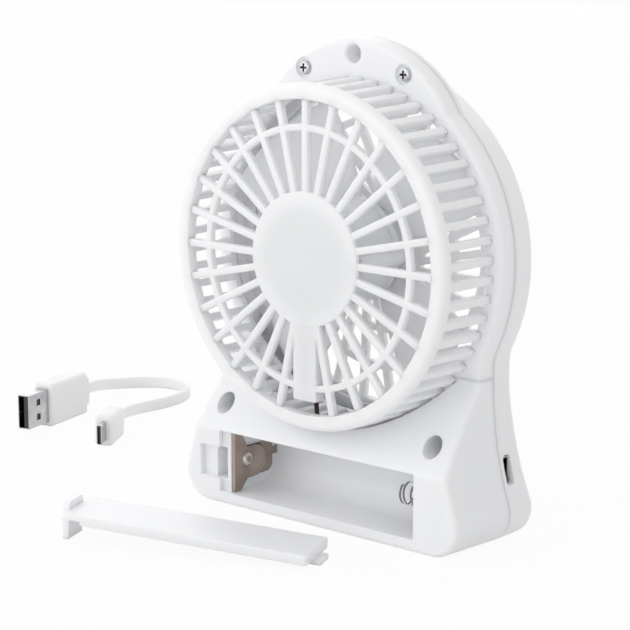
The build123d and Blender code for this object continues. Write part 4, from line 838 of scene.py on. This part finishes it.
@dataclass
class Cage:
    """The rear cage: louvred flank, rim, spokes, ring, hub disc and wire channel.

    The sink is how far the spokes lie below the rear face. The tuck is how far the ring stays inside them,
    and how far the channel stands out over them.
    """

    shop: Paintshop
    rear_y: float = 22.3
    sink: float = 0.4
    tuck: float = 0.08
    foot_r: float = 51.8
    rim_r: float = 51.05
    rim_in_r: float = 46.4
    rim_deep: float = 3.7
    rim_round: float = 2.0
    rim_front_round: float = 0.25
    rim_steps: int = 168
    louvres: int = 56
    louvre_deep: float = 3.0
    louvre_thick: float = 2.3
    louvre_soft: float = 0.35
    spokes: int = 28
    spoke_wide: float = 2.2
    spoke_deep: float = 2.4
    spoke_soft: float = 0.5
    spoke_in_hub: float = 1.0
    spoke_in_rim: float = 0.6
    ring_r: float = 38.3
    ring_wide: float = 2.0
    ring_front_round: float = 0.3
    ring_rear_round: float = 0.5
    ring_steps: int = 128
    hub_r: float = 19.85
    hub_thick: float = 1.8
    hub_front_round: float = 0.2
    hub_steps: int = 112
    channel_half: float = 4.3
    channel_deep: float = 4.6
    channel_wall: float = 1.5
    channel_soft: float = 0.4
    channel_end_r: float = 42.2
    cup_r: float = 13.95

    def build(self) -> None:
        """Makes the flank and the grille."""
        self.flank()
        self.grille()

    def flank(self) -> None:
        """Makes the louvres and the rim that joins them."""
        rim_y = self.rear_y - self.rim_deep
        rim = Form.ring(
            [
                (self.rim_in_r, rim_y, self.rim_front_round),
                (self.rim_r, rim_y, self.rim_front_round),
                (self.rim_r, self.rear_y, self.rim_round),
                (self.rim_in_r, self.rear_y, self.sink),
            ],
            self.rim_steps,
        )
        end_y = self.rear_y - self.rim_deep / 2
        half = self.louvre_thick / 2
        inner_r = self.foot_r - self.louvre_deep
        plate = Form.block((inner_r, 0.0, HEAD_Z - half), (self.foot_r, end_y, HEAD_Z + half))
        for vert in plate.bm.verts:
            if vert.co.y > end_y / 2:
                vert.co.x -= self.foot_r - self.rim_r
        half_pitch = 180.0 / self.louvres
        plate.soften(self.louvre_soft).around(self.louvres, half_pitch)
        piece = Piece("cage_flank_soft", Body.FAN, Slot.CASE_WHITE, self.shop, "cage_white")
        piece.unite(rim, plate).finish("cage_flank")

    def grille(self) -> None:
        """Makes the spokes, their ring, the hub disc and the wire channel in place of the lowest spoke."""
        spoke_y = self.rear_y - self.sink
        front_y = spoke_y - self.spoke_deep
        half = self.spoke_wide / 2
        spoke = Form.block(
            (self.hub_r - self.spoke_in_hub, front_y, HEAD_Z - half),
            (self.rim_in_r + self.spoke_in_rim, spoke_y, HEAD_Z + half),
            self.spoke_soft,
        )
        straight_down = 90.0
        pitch = 360.0 / self.spokes
        spoke.around(self.spokes, straight_down + pitch, skip=1)
        ring_half = self.ring_wide / 2
        ring_front_y = front_y + self.tuck
        ring_rear_y = spoke_y - self.tuck
        ring = Form.ring(
            [
                (self.ring_r - ring_half, ring_front_y, self.ring_front_round),
                (self.ring_r + ring_half, ring_front_y, self.ring_front_round),
                (self.ring_r + ring_half, ring_rear_y, self.ring_rear_round),
                (self.ring_r - ring_half, ring_rear_y, self.ring_rear_round),
            ],
            self.ring_steps,
        )
        hub_y = self.rear_y - self.hub_thick
        hub = Form.ring(
            [
                (0.0, hub_y, 0.0),
                (self.hub_r, hub_y, self.hub_front_round),
                (self.hub_r, self.rear_y, self.sink),
                (0.0, self.rear_y, 0.0),
            ],
            self.hub_steps,
        )
        piece = Piece("cage_grille_soft", Body.FAN, Slot.CASE_WHITE, self.shop, "cage_white")
        piece.unite(hub, spoke, ring, self.channel(spoke_y + self.tuck)).finish("cage_grille")

    def channel(self, rear_y: float) -> Form:
        """Makes the wire channel, open to the front.

        Args:
            rear_y: Depth of its rear face.

        Returns:
            The form.
        """
        low_z = HEAD_Z - self.channel_end_r
        high_z = HEAD_Z - self.cup_r - self.channel_wall
        front_y = rear_y - self.channel_deep
        inner_y = rear_y - self.channel_wall
        out = self.channel_half
        inn = self.channel_half - self.channel_wall
        outline = [(-out, front_y), (-out, rear_y), (out, rear_y), (out, front_y)]
        outline += [(inn, front_y), (inn, inner_y), (-inn, inner_y), (-inn, front_y)]
        form = Form()
        section = form.bm.faces.new([form.bm.verts.new((x, y, low_z)) for x, y in outline])
        raised = bmesh.ops.extrude_face_region(form.bm, geom=[section])["geom"]
        top = [item for item in raised if isinstance(item, bmesh.types.BMVert)]
        bmesh.ops.translate(form.bm, vec=(0, 0, high_z - low_z), verts=top)
        return form.closed().soften(self.channel_soft)


@dataclass
class Motor:
    """The motor's wound armature, its two leads and the wire from the cell's positive contact.

    Each row of lead_run is the share of a lead's side, its depth, the share of its own step forward, and its
    height, from the terminal down the channel to the board.
    """

    shop: Paintshop
    core_y: float = 7.0
    half_y: float = 5.35
    half_z: float = 3.05
    corner: float = 0.8
    start_r: float = 4.4
    end_r: float = 7.1
    wire: float = 0.5
    turns: int = 6
    layers: int = 2
    poles: int = 3
    side: float = 0.8
    red_forward: float = 2.3
    lead_r: float = 0.65
    lead_run: tuple[tuple[float, float, float, float], ...] = (
        (1.0, 19.1, 0.0, 73.55),
        (1.0, 19.1, 0.0, 66.25),
        (1.0, 19.1, 0.8, 44.0),
        (1.0, 17.8, 1.0, 40.2),
        (1.2, 17.4, 1.0, 37.4),
        (1.2, 17.1, 1.0, 33.6),
        (1.0, 14.0, 1.0, 32.5),
        (1.0, 9.6, 0.0, 32.4),
        (1.0, 9.0, 0.0, 31.2),
        (1.0, 9.0, 0.0, 29.4),
        (1.0, 8.2, 0.0, 27.1),
        (1.0, 4.0, 0.0, 26.9),
        (1.0, -7.2, 0.0, 26.9),
    )
    battery_r: float = 0.5
    battery_run: tuple[Point, ...] = (
        (34.3, -7.7, 13.7),
        (32.0, -7.62, 13.7),
        (29.4, -7.78, 13.7),
        (27.0, -7.7, 13.7),
    )

    def build(self) -> None:
        """Makes the windings and the wires."""
        self.windings()
        self.insulated("motor_wire_black", Slot.WIRE_BLACK, self.lead(-self.side, 0.0), self.lead_r)
        red_lead = self.lead(self.side, self.red_forward)
        self.insulated("motor_wire_red", Slot.WIRE_RED, red_lead, self.lead_r)
        self.insulated("battery_wire_red", Slot.WIRE_RED, self.battery_run, self.battery_r)

    def windings(self) -> None:
        """Winds every pole in layers of single turns."""
        piece = Piece("armature_windings_wound", Body.ROTOR, Slot.COIL_COPPER, self.shop)
        step = (self.end_r - self.start_r) / (self.turns - 1)
        for layer in range(self.layers):
            inset = layer * self.wire
            for turn in range(self.turns):
                form = Form.loop(self.half_y - inset, self.half_z - inset, self.corner, self.wire)
                form.move(Matrix.Translation((self.start_r + turn * step, self.core_y, HEAD_Z)))
                piece.add(form.around(self.poles))
        piece.finish("armature_windings")

    def lead(self, side: float, forward: float) -> list[Point]:
        """Lays out one lead.

        Args:
            side: Its side of the middle.
            forward: How much further forward it runs at the channel's end.

        Returns:
            Its route.
        """
        return [(side * out, y - forward * share, z) for out, y, share, z in self.lead_run]

    def insulated(self, node: str, slot: Slot, route: Sequence[Point], radius: float) -> None:
        """Makes one insulated wire.

        Args:
            node: The CAD node that it replaces.
            slot: The slot of its colour.
            route: Its route.
            radius: Its radius.
        """
        line = Strand(node + "_line", route)
        piece = Piece(node + "_tube", Body.FAN, slot, self.shop)
        piece.add_mesh(line.round_tube(radius)).finish(node)
        line.clear()


@dataclass
class BatteryBay:
    """The cell's spring, with a closed turn at each end; their pitch is in wire diameters."""

    shop: Paintshop
    seat_x: float = -41.1
    cell: Span = (7.0, 13.7)
    radius: float = 3.4
    wire: float = 0.8
    length: float = 14.6
    closed_pitch: float = 1.05
    first_turns: float = 1.0
    open_turns: float = 4.5
    last_turns: float = 0.9

    def build(self) -> None:
        """Winds the spring."""
        start = (self.seat_x + self.wire / 2, self.cell[0], self.cell[1] - self.radius)
        centre = (start[0], *self.cell)
        closed = self.wire * self.closed_pitch
        pitch = (self.length - 2 * closed - self.wire) / self.open_turns
        stretches = [(self.first_turns, closed), (self.open_turns, pitch), (self.last_turns, closed)]
        spring = Form.coil(start, centre, self.wire, stretches)
        piece = Piece("negative_spring_wound", Body.FAN, Slot.SPRING_STEEL, self.shop)
        piece.add(spring).finish("negative_spring")


@dataclass
class ChargingLead:
    """The charging lead: flat cord on edge, USB-A plug and micro-USB plug."""

    shop: Paintshop
    wide: float = 4.2
    thick: float = 1.5
    rounding: float = 0.65
    length: float = 124.8
    usb_grip: float = 25.0
    usb_shell: float = 12.0
    contact_heights: tuple[float, ...] = (-3.5, -1.0, 1.0, 3.5)
    contact_half_thick: float = 0.06
    contact_half_wide: float = 0.5
    contact_soft: float = 0.04
    contact_from_grip: float = 2.5
    contact_from_mouth: float = 1.0
    micro_grip: float = 19.0
    micro_tip: float = 5.6
    core_half_thick: float = 0.42
    core_half_wide: float = 2.9
    core_soft: float = 0.12
    core_overlap: float = 0.2
    core_from_mouth: float = 0.5
    plug_nodes: tuple[str, ...] = (
        "usb_plug_shell",
        "usb_plug_insert",
        "usb_plug_grip",
        "micro_plug_grip",
        "micro_plug_tip",
    )
    route: tuple[Point, ...] = (
        (156.2, -34.7, 7.7),
        (158.0, -42.3, 7.7),
        (161.4, -49.8, 6.2),
        (166.4, -57.2, 4.2),
        (167.8, -66.1, 2.6),
        (164.1, -74.3, 2.2),
        (156.5, -79.2, 2.2),
        (147.5, -79.1, 2.2),
        (140.0, -74.2, 2.2),
        (136.0, -65.6, 2.2),
        (135.4, -55.8, 2.2),
        (135.2, -46.1, 2.6),
        (132.3, -36.9, 3.8),
        (128.1, -28.7, 5.3),
        (124.2, -22.0, 5.3),
    )

    def build(self) -> None:
        line = Strand("lead_line", self.route)
        path = line.points()
        tube = line.flat_tube(self.wide, self.thick, self.rounding)
        line.clear()
        piece = Piece("lead_cord_flat", Body.LEAD, Slot.CORD_WHITE, self.shop)
        cord = piece.add_mesh(tube).finish("lead_cord")
        contacts = self.usb_contacts()
        core = self.micro_core()

    def end(self, last: Point, before: Point) -> Matrix:
        """The place of a plug: at an end of the route, pointing away from the point before.

        Args:
            last: The route's end.
            before: The point before it.

        Returns:
            The plug's place.
        """
        heading = math.atan2(last[1] - before[1], last[0] - before[0])
        return Matrix.Translation(last) @ Matrix.Rotation(heading, 4, "Z")

    def usb_contacts(self) -> bpy.types.Object:
        """Makes the four contact strips inside the USB-A plug."""
        place = self.end(self.route[0], self.route[1])
        start = self.usb_grip + self.contact_from_grip
        stop = self.usb_grip + self.usb_shell - self.contact_from_mouth
        piece = Piece("usb_plug_contacts", Body.LEAD, Slot.BUSH_BRASS, self.shop)
        for height in self.contact_heights:
            strip = Form.block(
                (start, -self.contact_half_thick, height - self.contact_half_wide),
                (stop, self.contact_half_thick, height + self.contact_half_wide),
                self.contact_soft,
            )
            piece.add(strip.move(place))
        return piece.finish()

    def micro_core(self) -> bpy.types.Object:
        """Makes the dark contact block inside the micro-USB tip."""
        place = self.end(self.route[-1], self.route[-2])
        start = self.micro_grip + self.micro_tip / 2 - self.core_overlap
        stop = self.micro_grip + self.micro_tip - self.core_from_mouth
        block = Form.block(
            (start, -self.core_half_thick, -self.core_half_wide),
            (stop, self.core_half_thick, self.core_half_wide),
            self.core_soft,
        )
        piece = Piece("micro_plug_core", Body.LEAD, Slot.BLACK_PLASTIC, self.shop)
        return piece.add(block.move(place)).finish()


@dataclass(frozen=True)
class Lamp:
    """One soft box, aimed at the fan; lengths are in metres and the power in watts."""

    name: str
    place: Point
    size: float
    power: float

    def hang(self, aim: Vector) -> None:
        """Hangs the lamp.

        Args:
            aim: The point that it looks at.
        """
        light = bpy.data.lights.new(self.name, "AREA")
        light.energy = self.power
        light.size = self.size
        lamp = put(self.name, light)
        lamp.location = self.place
        lamp.rotation_mode = "QUATERNION"
        lamp.rotation_quaternion = (aim - Vector(self.place)).to_track_quat("-Z", "Y")


@dataclass
class Studio:
    """Floor, surrounding light, lamps and the photograph's camera; lengths are in metres."""

    azimuth: float = 220.6
    elevation: float = 11.7
    distance: float = 0.6292
    aim: Point = (0.01454, 0.0, 0.06021)
    sensor_mm: float = 36.0
    focal_pixels: float = 2068.7
    photo_pixels: float = 630.0
    nearest: float = 0.01
    ambient: float = 0.72
    floor_half: float = 3.0
    floor_grey: float = 0.9
    floor_glow: float = 0.93
    lamps: tuple[Lamp, ...] = (
        Lamp("key_box", (0.72, 0.6, 0.4), 0.8, 1.2),
        Lamp("top_box", (0.3, 0.1, 0.95), 0.9, 0.9),
        Lamp("front_box", (0.05, 1.05, 0.24), 0.9, 2.3),
        Lamp("back_box", (1.23, -2.25, 0.785), 3.0, 15.6),
    )

    def build(self) -> None:
        """Sets up the whole studio."""
        self.floor()
        self.surround()
        self.camera()
        for lamp in self.lamps:
            lamp.hang(Vector(self.aim))
        bpy.context.scene.view_settings.view_transform = "Standard"

    def seen(self, tree: bpy.types.NodeTree) -> Socket:
        """Adds a value that is 1 where the eye, a mirror or clear plastic sees the surface.

        Args:
            tree: The node tree.

        Returns:
            The value.
        """
        path = tree.nodes.new("ShaderNodeLightPath")
        value = path.outputs["Is Camera Ray"]
        for name in ("Is Glossy Ray", "Is Transmission Ray"):
            both = tree.nodes.new("ShaderNodeMath")
            both.operation = "MAXIMUM"
            tree.links.new(value, both.inputs[0])
            tree.links.new(path.outputs[name], both.inputs[1])
            value = both.outputs[0]
        return value

    def floor(self) -> None:
        """Lays a plain white floor that keeps a faint shadow."""
        form = Form()
        bmesh.ops.create_grid(form.bm, x_segments=1, y_segments=1, size=self.floor_half / MM)
        mesh = form.pour(bpy.data.meshes.new("floor"))
        paint = bpy.data.materials.new("floor_white")
        paint.use_nodes = True
        tree = paint.node_tree
        tree.nodes.remove(tree.nodes["Principled BSDF"])
        matte = tree.nodes.new("ShaderNodeBsdfDiffuse")
        matte.inputs["Color"].default_value = (self.floor_grey, self.floor_grey, self.floor_grey, 1.0)
        glow = tree.nodes.new("ShaderNodeEmission")
        share = tree.nodes.new("ShaderNodeMath")
        share.operation = "MULTIPLY"
        share.inputs[1].default_value = self.floor_glow
        tree.links.new(self.seen(tree), share.inputs[0])
        mix = tree.nodes.new("ShaderNodeMixShader")
        tree.links.new(share.outputs[0], mix.inputs["Fac"])
        tree.links.new(matte.outputs["BSDF"], mix.inputs[1])
        tree.links.new(glow.outputs["Emission"], mix.inputs[2])
        tree.links.new(mix.outputs["Shader"], tree.nodes["Material Output"].inputs["Surface"])
        mesh.materials.append(paint)
        floor = put("floor", mesh)

    def surround(self) -> None:
        """Fills the room with soft light and shows it as white."""
        world = bpy.data.worlds.new("studio")
        bpy.context.scene.world = world
        world.use_nodes = True
        tree = world.node_tree
        back = tree.nodes["Background"]
        back.inputs["Color"].default_value = WHITE
        level = tree.nodes.new("ShaderNodeMapRange")
        level.inputs["To Min"].default_value = self.ambient
        level.inputs["To Max"].default_value = 1.0
        tree.links.new(self.seen(tree), level.inputs["Value"])
        tree.links.new(level.outputs["Result"], back.inputs["Strength"])

    def camera(self) -> None:
        """Stands the camera where the photograph was taken from."""
        turn = math.radians(self.azimuth)
        tilt = math.radians(self.elevation)
        back = Vector((math.sin(turn) * math.cos(tilt), -math.cos(turn) * math.cos(tilt), math.sin(tilt)))
        camera = put("camera", bpy.data.cameras.new("camera"))
        camera.data.sensor_width = self.sensor_mm
        camera.data.lens = self.sensor_mm * self.focal_pixels / self.photo_pixels
        camera.data.clip_start = self.nearest
        camera.location = Vector(self.aim) + back * self.distance
        camera.rotation_mode = "QUATERNION"
        camera.rotation_quaternion = (-back).to_track_quat("-Z", "Y")
        bpy.context.scene.camera = camera


def main() -> None:
    """Builds the studio, the lead and the fan."""
    logging.basicConfig(level=logging.INFO, format="%(name)s: %(message)s")
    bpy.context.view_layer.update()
    Studio().build()
    shop = Paintshop()
    shop.dress_nodes()
    for part in (ChargingLead(shop), Cage(shop), Motor(shop), BatteryBay(shop)):
        part.build()


if __name__ == "__main__":
    main()
